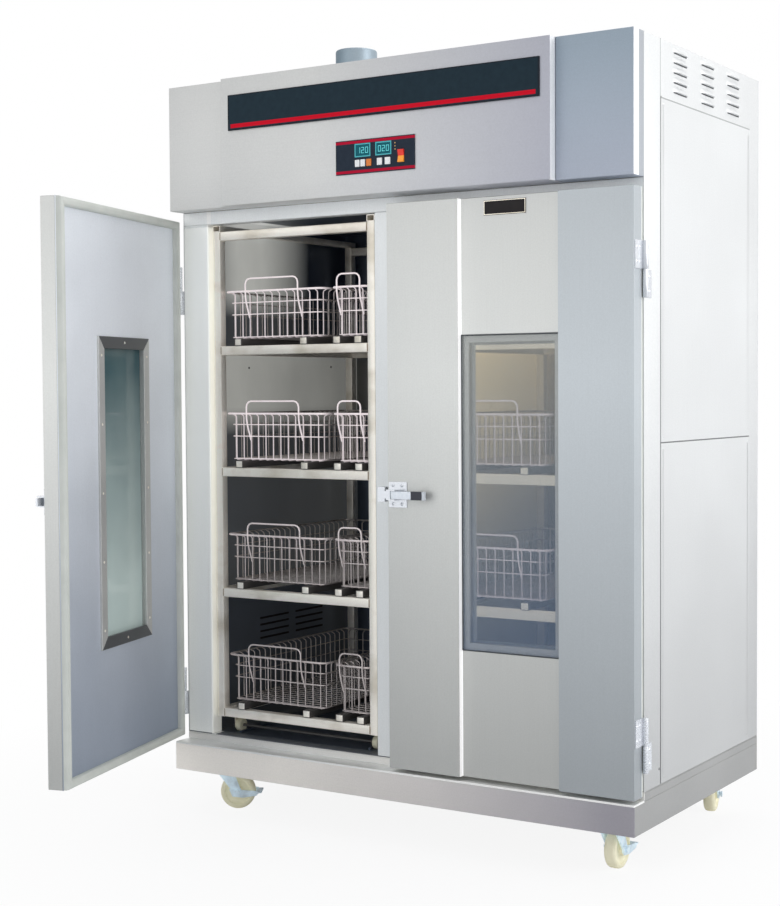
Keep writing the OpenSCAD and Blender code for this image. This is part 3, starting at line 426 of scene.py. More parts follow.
def side_patch(sheet, colour):
    """Dark lines where the service panels meet each other and the sheet round them."""
    y, z = sheet.along("Y"), sheet.along("Z")
    level = z.between(1.0622, 1.0658) * y.between(-0.264, 0.349)
    crest = z.between(1.9045, 1.9085) * y.between(-0.264, 0.349)
    upright = y.between(-0.2662, -0.2628) * (z > 0.219) + y.between(0.3478, 0.3502) * z.between(0.219, 1.907)
    return sheet.blend((level + crest * 0.7 + upright * 0.7).ramp(0, 1), colour, tint(138, 140, 140))


# The frame is painted a little darker towards its foot and the side sheets darker below 1.1 m: painted shade.
frame_steel = brushed("frame_steel", tint(244, 246, 246), metal=0.3, shade_by_height=(0.9, 1.0), patch=jamb_light_and_shade,
                      glow=jamb_glow)
side_steel = brushed("side_steel", tint(223, 224, 224), cloud=0.12, rough=0.5, metal=0.35, shade_by_height=(0.71, 1.0),
                     heights=(0.3, 1.1), patch=side_patch)
rear_steel = brushed("rear_steel", tint(208, 210, 214), ALONG_X)
dress(frame_steel, "front_frame")
dress(side_steel, "side_access_panels")
dress(rear_steel, "rear_cover")
soften(0.0015, "front_frame")
soften(0.0006, "side_access_panels", "rear_cover")
side_back = back_y - sheet_t - 0.0002
roof_x = half_w - sheet_t - 0.0002
casing = [slab((-roof_x, frame_y, top_z - sheet_t), (roof_x, side_back, top_z))]
slots = []
for side in (-1, 1):
    near, far = sorted((side * half_w, side * (half_w - sheet_t)))
    casing.append(slab((near, frame_y, deck_z), (far, side_back, top_z)))
    for y, z in hood_places:
        casing.append(hood(y, z, side))
        near, far = sorted((side * (half_w - 0.0005), side * (half_w + 0.0006)))
        slots.append(slab((near, y - hood_l / 2 + slot_in, z - slot_low),
                          (far, y + hood_l / 2 - slot_in, z + slot_high), slot_r, 1))
put("side_casing", casing, side_steel, "cabinet", ["outer_casing"])
# The slots under the hoods are dark slabs: painted shade in the openings.
dark_gap = mottled("slot_shade", 50, 2, (52, 54, 58), (88, 90, 94), 0.8)
put("louvre_slots", slots, dark_gap, "cabinet")

# ---------------- chamber and insulation
# Stainless lining that heat has turned dark and bluish, with mineral wool slabs behind it.
# The side walls are painted paler, and given a painted glow, where light from the open front and the window
# reaches them.
def lining_light(sheet, colour):
    """Painted light: paler beside the second tier, and warm and pale in the upper half of the right bay."""
    x, z = sheet.along("X"), sheet.along("Z")
    left_bay = sheet.blend(z.ramp(1.07, 1.15) * z.ramp(1.34, 1.28), colour, tint(124, 125, 126))
    return sheet.blend((x > 0) * z.ramp(0.7, 1.3), left_bay, tint(214, 200, 170))


def chamber_glow(sheet):
    """Light on the left bay's side wall, ending at 0.1 m on the top tier, and warm on the right bay's."""
    x, y, z = sheet.xyz()
    # The painted light is patchy.
    uneven_lighting = 0.75 + sheet.noise(7, (1, 1, 0.5), 4) * 0.5
    second = z.between(0.96, 1.31) * z.ramp(1.07, 1.15, 0.1, 1.1) * y.ramp(0.36, -0.2, 0.2, 0.5)
    first = (z > 1.31) * z.ramp(1.41, 1.49, 0.08, 1) * y.ramp(0.16, -0.08) * y.ramp(-0.3, -0.2, 0.3, 0.75)
    lower = z.between(0.6, 0.96) * 0.05 + (z < 0.6) * 0.012
    cool = sheet.scaled(tint(186, 186, 180), (x < -0.6) * uneven_lighting * (second + first + lower))
    warm_wall = z.ramp(0.7, 1.3, 0.16, 1.45) * y.ramp(0.3, -0.1, 0.35, 1)
    warm = sheet.scaled(tint(196, 178, 138), x.between(0.03, 0.07) * uneven_lighting * warm_wall)
    return sheet.blend(x > 0, cool, warm)


liner_steel = brushed("liner_steel", tint(96, 106, 122), rough=0.36, metal=0.55, cloud=0.5, patch=lining_light,
                      glow=chamber_glow)
dress(liner_steel, "chamber_liner")
wool = Finish("mineral_wool")
fibre = wool.noise(160, (1, 1, 0.3), 6)
dress(wool.surface({"Base Color": wool.blend(fibre, tint(150, 134, 70), tint(214, 200, 130)),
                    "Roughness": 0.95, "Normal": wool.bump(fibre, 0.5, 0.002)}), "insulation")

# ---------------- hot-air unit
# Enamelled motor on its bridge, sheet impeller and dark oxidised heater tubes on the ceiling.
# None of it shows from in front.
dress(mottled("motor_enamel", 90, 4, (60, 64, 70), (96, 100, 108), 0.5, 0.1), "fan_motor")
dress(brushed("impeller_sheet", tint(200, 202, 206), ALONG_X, rough=0.3), "fan_impeller")
dress(brushed("heater_sheath", tint(92, 84, 78), ALONG_Y, rough=0.5, cloud=0.5), "heating_elements")

# ---------------- header
# Three boxes of folded sheet over the doors, the middle one standing forward.
# Their cheeks are painted paler than their faces, as highlights, and the right box is painted bluish, as
# shade.
header_z, header_mid, mid_front_y = 1.704, 0.503, -0.448
inner_back_y = frame_y - 0.0002


def loft(rows):
    """A closed skin through upright rectangles, each (left, right, foot, top, depth), with mitred corners."""
    x0, x1, z0, z1, y = np.array(rows, float).T
    points = np.stack([np.stack([x0, y, z0], -1), np.stack([x1, y, z0], -1),
                       np.stack([x1, y, z1], -1), np.stack([x0, y, z1], -1)], 1)
    return points.reshape(-1, 3), grid_faces(len(rows), 4, True)


def inset(rectangle, distance, y):
    """The same rectangle drawn in by a distance on all sides, at depth y."""
    x0, x1, z0, z1 = rectangle
    return x0 + distance, x1 - distance, z0 + distance, z1 - distance, y


def rim_ring(rectangle, outer, inner, back, front):
    """A flat ring along a rectangle, from one inset to the other, standing from back to front."""
    return loft([inset(rectangle, outer, back), inset(rectangle, outer, front),
                 inset(rectangle, inner, front), inset(rectangle, inner, back)])


def header_light_and_shade(sheet, colour):
    """Painted light and shade: the right box is painted bluish and darker towards its top, and the middle box
    darker and bluer towards the right, as shade; the cheeks of the boxes and the front of the right end
    nearly white, as highlights; and the end behind that grey, as shade.
    """
    x, y, z = sheet.xyz()
    bluish = sheet.blend(z.ramp(1.72, 2.02), tint(179, 186, 199), tint(163, 177, 190))
    middle = sheet.blend(x.ramp(-0.2, 0.5), colour, tint(187, 188, 198))
    faces = sheet.blend(x > header_mid, middle, bluish)
    cheek = x.between(0.4985, header_mid + 0.0006) * (y < -0.4212) * (y > -0.4468)
    end = (x > 0.7088) * (y < -0.392)
    shaded = (x > 0.7088) * (y > -0.392)
    pale = sheet.blend((cheek + end).ramp(0, 1), faces, tint(250, 251, 253))
    return sheet.blend(shaded, pale, tint(178, 182, 188))


# The header is also painted darker towards its top: painted shade.
header_steel = brushed("header_steel", tint(221, 221, 219), ALONG_X, patch=header_light_and_shade,
                       heights=(1.7, 2.05), shade_by_height=(1.02, 0.92), cloud=0.16, rough=0.58, metal=0.35)
edge = 0.002
middle = (-header_mid, header_mid, header_z, top_z)
hole = (-0.115, 0.115, 1.764, 1.840)
boxes = [loft([inset(middle, 0, inner_back_y), inset(middle, 0, mid_front_y + edge),
               inset(middle, edge * 0.3, mid_front_y + edge * 0.3), inset(middle, edge, mid_front_y),
               inset(hole, 0, mid_front_y), inset(hole, 0, mid_front_y + sheet_t),
               inset(middle, sheet_t, mid_front_y + sheet_t), inset(middle, sheet_t, inner_back_y)])]
for low_x, high_x in ((-half_w, -header_mid - 0.0004), (header_mid + 0.0004, half_w)):
    boxes.append(slab((low_x, front_y, header_z), (high_x, inner_back_y, top_z), edge))
put("header_boxes", boxes, header_steel, "cabinet", ["header_fascia"])

sign = Finish("sign_film")
band = sign.along("Z").between(1.912, 1.923) * sign.along("X").between(-0.466, 0.466)
rim = 1 - sign.along("Z").between(1.909, 1.999) * sign.along("X").between(-0.472, 0.472)
grit = sign.noise(60, detail=3)
slate = sign.blend(grit, tint(26, 42, 52), tint(38, 56, 66))
striped = sign.blend(band, slate, tint(222, 8, 40))
dress(sign.surface({"Base Color": sign.blend(rim, striped, tint(34, 40, 48)), "Roughness": 0.5 + grit * 0.1,
                    "Specular IOR Level": 0.1}), "sign_plate")

panel = Finish("panel_film")
low_band = panel.along("Z").between(1.7605, 1.7675)
high_band = panel.along("Z").between(1.8365, 1.8435)
grit = panel.noise(80, detail=3)
slate = panel.blend(grit, tint(34, 44, 56), tint(48, 58, 72))
crimson = panel.blend((low_band + high_band).ramp(0, 1), slate, tint(196, 14, 52))
dress(panel.surface({"Base Color": crimson, "Roughness": 0.5 + grit * 0.1, "Specular IOR Level": 0.1}),
      "control_panel")
soften(0.0008, "sign_plate", "control_panel")

dress(mottled("display_face", 240, 2, (8, 60, 72), (18, 84, 96), 0.4, 0, {
    "Specular IOR Level": 0.1, "Emission Color": tint(20, 110, 122), "Emission Strength": 0.3}),
    "display_board")


def moulded(name, colour, rough=0.35):
    """Moulded plastic with a faint grain."""
    cap = Finish(name)
    grain = cap.noise(500, detail=3)
    return cap.surface({"Base Color": cap.scaled(colour, 0.95 + grain * 0.1),
                        "Roughness": rough + grain * 0.08, "Normal": cap.bump(grain, 0.05, 0.0002)})


white_keys = ("time_up_key", "time_down_key", "temperature_up_key", "temperature_down_key")
dress(moulded("key_white", tint(255, 255, 255)), *white_keys)
dress(moulded("key_orange", tint(238, 130, 40)), "start_key")
soften(0.0008, *white_keys, "start_key")
rocker = Finish("rocker_shell")
halves = rocker.blend(rocker.along("Z") > 1.7945, tint(238, 150, 40), tint(214, 44, 30))
dress(rocker.surface({"Base Color": rocker.scaled(halves, 0.95 + rocker.noise(300) * 0.1), "Roughness": 0.3,
                      "Emission Color": halves, "Emission Strength": 0.3}), "power_rocker")


def turned(profile, centre, axis, sides=48, closed=False):
    """A turned piece: radius * (cos a * side + sin a * over) at each (distance along the axis, radius)."""
    profile, axis = np.array(profile, float), np.array(axis, float)
    axis /= np.linalg.norm(axis)
    side = np.cross(axis, np.eye(3)[np.abs(axis).argmin()])
    side /= np.linalg.norm(side)
    over = np.cross(axis, side)
    angle = np.arange(sides)[:, None] * 2 * pi / sides
    spoke = np.cos(angle) * side + np.sin(angle) * over
    points = np.array(centre) + profile[:, :1, None] * axis + profile[:, 1:, None] * spoke
    if closed:
        return points.reshape(-1, 3), grid_faces(len(profile), sides, True)
    return rings(points)


# the panel's loose parts: rims and figures of the two displays, and its small lamps
panel_face = -0.451
lcd_low, lcd_high = 1.802, 1.834
lcd_w, lcd_rim_out, lcd_rim_in = 0.046, 0.0012, 0.0016
SEGMENTS = {"0": "abcdef", "1": "bc", "2": "abged"}
figure_w, figure_h, bar = 0.0072, 0.0140, 0.0013
figure_x, figure_z, figure_step = 0.0072, 0.009, 0.0122
bars = {"a": (0, 1, 1, 1), "d": (0, 0, 1, 0), "g": (0, 0.5, 1, 0.5), "b": (1, 0.5, 1, 1),
        "c": (1, 0, 1, 0.5), "e": (0, 0, 0, 0.5), "f": (0, 0.5, 0, 1)}
rims, figures = [], []
for left_x, digits in ((-0.060, "120"), (0.004, "020")):
    rim = (left_x, left_x + lcd_w, lcd_low, lcd_high)
    rims.append(rim_ring(rim, -lcd_rim_out, lcd_rim_in, panel_face + 0.0002, panel_face - 0.0006))
    for place, digit in enumerate(digits):
        x, z = left_x + figure_x + place * figure_step, lcd_low + figure_z
        for segment in SEGMENTS[digit]:
            a, b, c, d = bars[segment]
            low = (x + a * figure_w - bar / 2, panel_face + 0.0001, z + b * figure_h - bar / 2)
            high = (x + c * figure_w + bar / 2, panel_face + 0.0006, z + d * figure_h + bar / 2)
            figures.append(slab(low, high, 0.0002, 1))
put("display_rims", rims, moulded("display_rim", tint(60, 190, 200), 0.25), "cabinet")
lit_figures = mottled("lit_figures", 400, 2, (90, 200, 206), (130, 224, 224), 0.4, 0, {
    "Emission Color": tint(100, 214, 216), "Emission Strength": 0.5})
put("display_figures", figures, lit_figures, "cabinet")
lens_cap = [(0, 0), (0, 0.0017), (0.0006, 0.0016), (0.0011, 0.0011), (0.0013, 0)]
lamp_x, lamp_zs = 0.0625, (1.8285, 1.8205, 1.8125)
caps = [turned(lens_cap, (lamp_x, panel_face, z), (0, -1, 0), 12) for z in lamp_zs]
put("panel_lamps", caps, moulded("lamp_amber", tint(236, 190, 120), 0.2), "cabinet")

# the flue collar: flange, neck and rolled lip
def flue_shade(sheet, colour):
    """Painted shade: the left half is painted darker and bluer."""
    return sheet.blend(sheet.along("X").ramp(-0.39, -0.31), tint(96, 118, 132), colour)


flue_steel = brushed("flue_steel", tint(158, 172, 182), ALONG_X, rough=0.5, cloud=0.5, patch=flue_shade)
lip = np.linspace(0, pi, 7)
collar = [(0, 0.057), (0, 0.078), (0.0025, 0.078), (0.003, 0.0775), (0.003, 0.061), (0.004, 0.060),
          (0.121, 0.060)]
collar += list(zip(0.122 + 0.006 * np.sin(lip), 0.0555 + 0.0045 * np.cos(lip)))
collar += [(0.120, 0.051), (0.116, 0.057)]
flue_foot = (-0.340, -0.020, top_z)
put("flue", [turned(collar, flue_foot, (0, 0, 1), 64, True)], flue_steel, "cabinet",
    ["exhaust_collar"])

# ---------------- casters
# Cream cast nylon wheels in zinc plated forks that swivel under a bolted plate.
# The front pair has foot brakes.
def floor_bounce(sheet):
    """Light from the pale floor under the cabinet, uneven as on crumpled plating."""
    return sheet.scaled(tint(124, 138, 146), sheet.noise(34, detail=4).ramp(0.35, 0.65, 0.25, 1.3))


zinc = brushed("zinc_plate", tint(206, 220, 228), (1, 1, 1), rough=0.36, metal=0.5, cloud=0.6, depth=0.1,
               glow=floor_bounce)
rust = brushed("plate_paint", tint(92, 56, 52), (1, 1, 1), rough=0.6, metal=0.2, cloud=0.6)
nylon = Finish("wheel_nylon")
scuff = nylon.noise(38, detail=5)
# Painted light: the wheels glow, fully below 0.12 m and a tenth as much above, for light from the floor.
floor_light_share = (nylon.along("Z") < 0.12).ramp(0, 1, 0.1, 1)
cream = nylon.surface({"Base Color": nylon.blend(scuff, tint(212, 206, 176), tint(244, 240, 218)),
                       "Roughness": 0.45 + scuff * 0.2, "Normal": nylon.bump(scuff, 0.2, 0.0006),
                       "Emission Color": nylon.scaled(tint(118, 114, 92), floor_light_share),
                       "Emission Strength": 0.7})
CORNERS = ("front_left", "front_right", "rear_left", "rear_right")
forks = [corner + "_fork" for corner in CORNERS]
dress(zinc, *forks, "front_left_brake_pedal", "front_right_brake_pedal")
dress(rust, "caster_plates")
JOINTS = {joint["name"]: joint for joint in frame["record"]["behaviour"]["joints"]}
tread = [(-0.018, 0), (-0.018, 0.0052), (-0.018, 0.013), (-0.017, 0.014), (-0.011, 0.0145),
         (-0.0102, 0.017), (-0.0102, 0.033), (-0.0115, 0.0355), (-0.0155, 0.0375), (-0.016, 0.040),
         (-0.0155, 0.044), (-0.0135, 0.0475), (-0.009, 0.0495), (0, 0.050)]
tread += [(-along, radius) for along, radius in tread[-2::-1]]
for corner in CORNERS:
    roll_joint = JOINTS[corner + "_roll"]
    put(corner + "_tyre", [turned(tread, roll_joint["pos_m"], roll_joint["axis"], 64)], cream,
        corner + "_roller", [corner + "_wheel"], crease=40)
soften(0.0008, *forks, "caster_plates")

# ---------------- trolleys
# Racks welded from 25 mm stainless square tube, warm in tone, with bars for the baskets to run on.
# Each stands on four cream wheels on two cross axles.
def box_tube(low, high, axis, wall=0.002, r=0.0028):
    """A rounded square ring carried along an axis: up outside, over the end and down inside."""
    low, high = np.array(low, float), np.array(high, float)
    across = [(axis + 1) % 3, (axis + 2) % 3]
    middle, half = ((low + high) / 2)[across], ((high - low) / 2)[across]
    _, turn, sign_x, sign_y = corner_arcs(2)
    sign = np.stack([sign_x, sign_y], -1)
    way = np.stack([np.cos(turn), np.sin(turn)], -1)
    outer = middle + sign * (half - r) + r * way
    inner = middle + sign * (half - r) + (r - wall) * way
    points = np.empty((4, len(turn), 3))
    for row, (ring, end) in enumerate(((outer, low), (outer, high), (inner, high), (inner, low))):
        points[row][:, across] = ring
        points[row][:, axis] = end[axis]
    return points.reshape(-1, 3), grid_faces(4, len(turn), True)


side_tube, bay_x = 0.025, 0.340
rack_w, rack_front, rack_back = 0.545, -0.350, 0.340
rail_z, tier_step, top_rail_z, post_top, guide_top = 0.270, 0.343, 1.621, 1.646, 1.664
bar_w, bar_h, joint_gap = 0.024, 0.020, 0.0002
bar_places = (-0.199, 0.026, 0.136, 0.205)
bead_half, bead_out, bead_end = 0.0012, 0.0006, 0.002
plate_in, plate_out = 0.0006, 0.002
bracket_half, bracket_drop = 0.014, 0.008
axle_in, axle_z = 0.060, 0.238
axle_ys = {"front": rack_front + axle_in, "rear": rack_back - axle_in}
wheel_side, wheel_half = 0.2435, 0.009
rod_half, rod_r = 0.2475, 0.004


def rack(middle):
    """One rack's tubes and brackets, its bars, and its weld beads."""
    left, right = middle - rack_w / 2, middle + rack_w / 2 - side_tube
    back = rack_back - side_tube
    tubes, bars, beads = [], [], []
    for x in (left, right):
        for y in (rack_front, back):
            tubes.append(box_tube((x, y, rail_z), (x + side_tube, y + side_tube, post_top), 2))
        tubes.append(box_tube((x, rack_front, post_top + joint_gap),
                              (x + side_tube, rack_back, guide_top), 1))
    inner_left, inner_right = left + side_tube + joint_gap, right - joint_gap
    for z in [rail_z + tier * tier_step for tier in range(4)] + [top_rail_z]:
        for y in (rack_front, back):
            tubes.append(box_tube((inner_left, y, z), (inner_right, y + side_tube, z + side_tube), 0))
            face = y if y == rack_front else y + side_tube
            for x in (inner_left, inner_right):
                beads.append(slab((x - bead_half, face - bead_out, z + bead_end),
                                  (x + bead_half, face + bead_out, z + side_tube - bead_end)))
        if z == top_rail_z:
            continue
        for x in (left, right):
            tubes.append(box_tube((x, rack_front + side_tube + joint_gap, z),
                                  (x + side_tube, back - joint_gap, z + side_tube), 1))
        low, high = z + side_tube + joint_gap, z + side_tube + joint_gap + bar_h
        for x in [middle + place for place in bar_places]:
            bars.append(box_tube((x, rack_front, low), (x + bar_w, rack_back, high), 1, 0.0015, 0.002))
            tubes.append(slab((x + 0.001, rack_front + plate_in, low + 0.001),
                              (x + bar_w - 0.001, rack_front + plate_out, high - 0.001)))
    for x in (left + side_tube, right - sheet_t):
        for y in axle_ys.values():
            tubes.append(slab((x, y - bracket_half, axle_z - bracket_drop),
                              (x + sheet_t, y + bracket_half, rail_z + side_tube)))
    return tubes, bars, beads


def axle(middle, y):
    """The two wheels of a cross axle, and its rod."""
    face = [(-wheel_half, 0), (-wheel_half, 0.0165), (-0.0075, 0.018), (0.0075, 0.018), (wheel_half, 0.0165),
            (wheel_half, 0)]
    wheels = [turned(face, (middle + side * (wheel_side - wheel_half), y, axle_z), (1, 0, 0), 32)
              for side in (-1, 1)]
    bolt = [(-rod_half, 0), (-rod_half, rod_r), (rod_half, rod_r), (rod_half, 0)]
    return wheels, [turned(bolt, (middle, y, axle_z), (1, 0, 0), 16)]


def rack_patch(sheet, colour):
    """Blotches where heat and welding have turned the steel brownish."""
    blotch = sheet.noise(7, (1, 1, 1.4), 3)
    return sheet.blend(blotch.ramp(0.5, 0.7, 0, 0.55), colour, tint(190, 178, 154))


def rack_glow(sheet):
    """Light from the window on the front of the right rack."""
    return sheet.scaled(tint(196, 188, 168), (sheet.along("X") > 0.05) * (sheet.along("Y") < -0.32))


rack_steel = brushed("rack_steel", tint(255, 249, 238), (1, 1, 1), rough=0.38, metal=0.4, cloud=0.3,
                     patch=rack_patch, glow=rack_glow)
# The bars and the axle rods take a dark steel: painted shade, for the shade under the baskets and racks.
shaded_bar_steel = brushed("shaded_bar_steel", tint(96, 94, 92), (1, 1, 1), rough=0.5, metal=0.4, cloud=0.5)
weld_steel = brushed("weld_steel", tint(150, 128, 104), (1, 1, 1), rough=0.5, metal=0.5, cloud=0.5)
tubes, bars, beads = rack(-bay_x)
put("left_rack", tubes, rack_steel, "left_trolley", ["left_trolley_frame"])
put("left_rack_bars", bars, shaded_bar_steel, "left_trolley")
put("left_rack_welds", beads, weld_steel, "left_trolley")
for end, y in axle_ys.items():
    wheels, rod = axle(-bay_x, y)
    body = f"left_trolley_{end}_axle"
    put(f"left_rack_{end}_wheels", wheels, cream, body, [f"left_trolley_{end}_wheels"])
    put(f"left_rack_{end}_rod", rod, shaded_bar_steel, body)
tubes, bars, beads = rack(bay_x)
wheels, rods = zip(*[axle(bay_x, y) for y in axle_ys.values()])
put("right_rack", tubes, rack_steel, "right_trolley", ["right_trolley"])
put("right_rack_bars", bars + sum(rods, []), shaded_bar_steel, "right_trolley")
put("right_rack_welds", beads, weld_steel, "right_trolley")
put("right_rack_wheels", sum(wheels, []), cream, "right_trolley")

# ---------------- baskets
# Welded from round stainless wire: a flared rim, U-shaped wires both ways across the floor,
# rings round the walls and a bent bail in front to pull the basket by.
def wire(path, radius, sides=6, closed=False):
    """A round wire: at each point of the path a ring, point + r * (cos a * side - sin a * over)."""
    path = np.array(path, float)
    step = np.roll(path, -1, 0) - np.roll(path, 1, 0) if closed else np.gradient(path, axis=0)
    step /= np.linalg.norm(step, axis=1)[:, None]
    flat = np.eye(3)[np.ptp(path, axis=0).argmin()]
    side = np.cross(step, flat)
    side /= np.linalg.norm(side, axis=1)[:, None]
    over = np.cross(side, step)
    angle = np.arange(sides)[:, None] * 2 * pi / sides
    spoke = np.cos(angle) * side[:, None] - np.sin(angle) * over[:, None]
    faces = grid_faces(len(path), sides, closed)
    if not closed:
        faces = np.vstack([faces, cap_faces(0, sides), cap_faces((len(path) - 1) * sides, sides)])
    return (path[:, None] + radius * spoke).reshape(-1, 3), faces


def rounded(corners, radius, closed, steps=4):
    """A path with rounded corners: corner + r * ((1 - sin a) * way back + (1 - cos a) * way on)."""
    corners = np.array(corners, float)
    back = np.roll(corners, 1, 0) - corners
    front = np.roll(corners, -1, 0) - corners
    back /= np.linalg.norm(back, axis=1)[:, None]
    front /= np.linalg.norm(front, axis=1)[:, None]
    a = np.linspace(0, pi / 2, steps)[:, None, None]
    arcs = (corners + radius * ((1 - np.sin(a)) * back + (1 - np.cos(a)) * front)).transpose(1, 0, 2)
    if closed:
        return arcs.reshape(-1, 3)
    return np.vstack([corners[:1], arcs[1:-1].reshape(-1, 3), corners[-1:]])


wire_r, wire_pitch, wire_corner, first_wire = 0.0016, 0.026, 0.004, 0.013
rim_r, rim_out, rim_corner, flare_drop = 0.0028, 0.017, 0.022, 0.007
ring_drops, floor_ring, ring_corner = (0.031, 0.064), 0.003, 0.012
bail_r, bail_wire, bail_rise, bail_drop, bail_bend, bail_corner = 0.003, 0.0023, 0.032, 0.075, 0.022, 0.016


def level_ring(plan, out, z):
    """The corners of a rectangle in plan, grown by a distance, at a height."""
    x0, x1, y0, y1 = plan
    left, right, front, back = x0 - out, x1 + out, y0 - out, y1 + out
    return [(left, front, z), (right, front, z), (right, back, z), (left, back, z)]


def spaced(low, high):
    """The places of the wires from one wall to the other."""
    return np.linspace(low + first_wire, high - first_wire, round((high - low) / wire_pitch))


def basket(low, high, bail_w):
    """The wires of one basket inside its CAD box; low and high are the box's corners."""
    x0, x1, y1, z0 = low[0], high[0], high[1], low[2]
    y0 = low[1] + 2 * bail_r + 0.0002
    rim = high[2] - bail_rise - bail_r - rim_r
    wall = [x0 + rim_out, x1 - rim_out, y0 + rim_out, y1 - rim_out]
    floor_z = z0 + wire_r
    top_ring = level_ring((x0, x1, y0, y1), -rim_r, rim)
    parts = [wire(rounded(top_ring, rim_corner, True), rim_r, 8, True)]
    for z, out in [(rim - drop, wire_r) for drop in ring_drops] + [(floor_z + floor_ring, 0)]:
        parts.append(wire(rounded(level_ring(wall, out, z), ring_corner, True, 3), wire_r, 6, True))
    edge, cross_z = rim - flare_drop, floor_z + 2 * wire_r
    left, right, front, back = wall[0] + wire_r, wall[1] - wire_r, wall[2] + wire_r, wall[3] - wire_r
    hoops = [[(x, y0 + rim_r, rim), (x, front, edge), (x, front, floor_z), (x, back, floor_z),
              (x, back, edge), (x, y1 - rim_r, rim)] for x in spaced(*wall[:2])]
    hoops += [[(x0 + rim_r, y, rim), (left, y, edge), (left, y, cross_z), (right, y, cross_z),
               (right, y, edge), (x1 - rim_r, y, rim)] for y in spaced(*wall[2:])]
    parts += [wire(rounded(hoop, wire_corner, False, 3), wire_r) for hoop in hoops]
    middle = (x0 + x1) / 2
    near, far = middle - bail_w / 2 + bail_r, middle + bail_w / 2 - bail_r
    top, grip_y, foot, bend = high[2] - bail_r, low[1] + bail_r, rim - bail_drop, rim - bail_bend
    bail = [(near, wall[2], foot), (near, grip_y, bend), (near, grip_y, top), (far, grip_y, top),
            (far, grip_y, bend), (far, wall[2], foot)]
    return parts + [wire(rounded(bail, bail_corner, False), bail_wire, 8)]


bright = Finish("basket_wire")
tarnish = bright.noise(26, detail=4)
# Painted highlight: the fronts of the wires glow, weaker in the lower tiers and stronger in the right bay.
upper, right_bay = bright.along("Z").ramp(0.7, 1.0, 0.18, 1), bright.along("X") > 0.05
glint = bright.along("Y").ramp(-0.29, -0.33) * (upper + right_bay * 0.8).ramp(0, 1.2, 0, 1.2)
basket_wire = bright.surface({
    "Base Color": bright.blend(tarnish, tint(158, 150, 146), tint(226, 218, 214)),
    "Metallic": 0.6, "Roughness": 0.26 + tarnish * 0.16,
    "Emission Color": bright.scaled(tint(206, 196, 200), glint), "Emission Strength": 0.8})
bay_shift = np.array([2 * bay_x, 0, 0])
right_set = []
for tier in (1, 2, 3, 4):
    for kind, bail_w in (("wide", 0.186), ("narrow", 0.080)):
        node = f"{kind}_basket_{tier}"
        low, high = (np.array(corner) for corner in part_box(node))
        put(f"{kind}_wires_{tier}", basket(low, high, bail_w), basket_wire, node, [node],
            crease=80)
        right_set += basket(low + bay_shift, high + bay_shift, bail_w)
put("right_wires", right_set, basket_wire, "right_trolley", ["right_baskets"], crease=80)

# ---------------- doors
# Folded stainless pans, each with a recessed middle and a double window, and a brushed inner
# sheet with a cream silicone seal. The same pieces make both doors.
swing = JOINTS["left_door_swing"]
hinge_x, hinge_y = swing["pos_m"][:2]
stands_open = radians(swing["range_deg"][0])


def on_left_door(points):
    """The right door's points mirrored, then turned about the left hinge to where that door stands."""
    x, y = -points[:, 0] - hinge_x, points[:, 1] - hinge_y
    return np.stack([hinge_x + x * cos(stands_open) - y * sin(stands_open),
                     hinge_y + x * sin(stands_open) + y * cos(stands_open), points[:, 2]], -1)


def door_inner_shade(sheet, colour):
    """Painted shade: a door's inner sheet, clouded, and painted darker and bluer towards its foot."""
    uneven_lighting = sheet.noise(2.2, (1, 1, 0.5), 4)
    height = (sheet.along("Z") + uneven_lighting * 0.5 - 0.25).ramp(0.2, 1.3)
    return sheet.blend(height, tint(154, 164, 180), colour)


door_rim, window = (0.015, 0.710, 0.208, 1.680), (0.227, 0.509, 0.532, 1.336)
recess_y = -0.404


def recess_cheek(sheet):
    """1 on the narrow face between the latch stile and the recess."""
    return sheet.along("X").between(0.2255, 0.2285) * sheet.along("Y").between(-0.4192, -0.4038)


def door_light_and_shade(sheet, colour):
    """Painted light and shade: a bluer hinge stile and a face darker above 1.2 m, as shade; a white edge
    beside the recess, as a highlight; and a greyer free edge on the open door, as shade.
    """
    x, y, z = sheet.xyz()
    stile = sheet.blend(x.between(0.509, 0.72), colour, tint(198, 204, 208))
    faces = sheet.scaled(stile, z.ramp(1.2, 1.66, 1, 0.84))
    free_edge = (y < -1.02) * (x < -0.7)
    pale = sheet.blend(recess_cheek(sheet), faces, white)
    return sheet.blend(free_edge, pale, tint(172, 174, 182))


def door_glow(sheet):
    """The edge beside the recess catches the lamp on the right."""
    return sheet.scaled(tint(190, 190, 190), recess_cheek(sheet))


# The doors are also painted darker towards their feet: painted shade.
door_steel = brushed("door_steel", tint(221, 222, 219), shade_by_height=(0.66, 1.0), heights=(0.25, 1.25),
                     patch=door_light_and_shade, glow=door_glow)
door_inner = brushed("door_inner", tint(240, 244, 250), rough=0.46, metal=0.25, cloud=0.25,
                     patch=door_inner_shade)
dress(door_steel, "left_door_shell", "right_door_shell")
dress(door_inner, "left_door_liner", "right_door_liner")
soften(0.0015, "left_door_shell", "right_door_shell")

rubber = mottled("seal_rubber", 14, 4, (192, 196, 190), (224, 226, 220), 0.7)
gasket_rubber = mottled("window_gasket", 70, 3, (50, 54, 58), (84, 88, 92), 0.75)
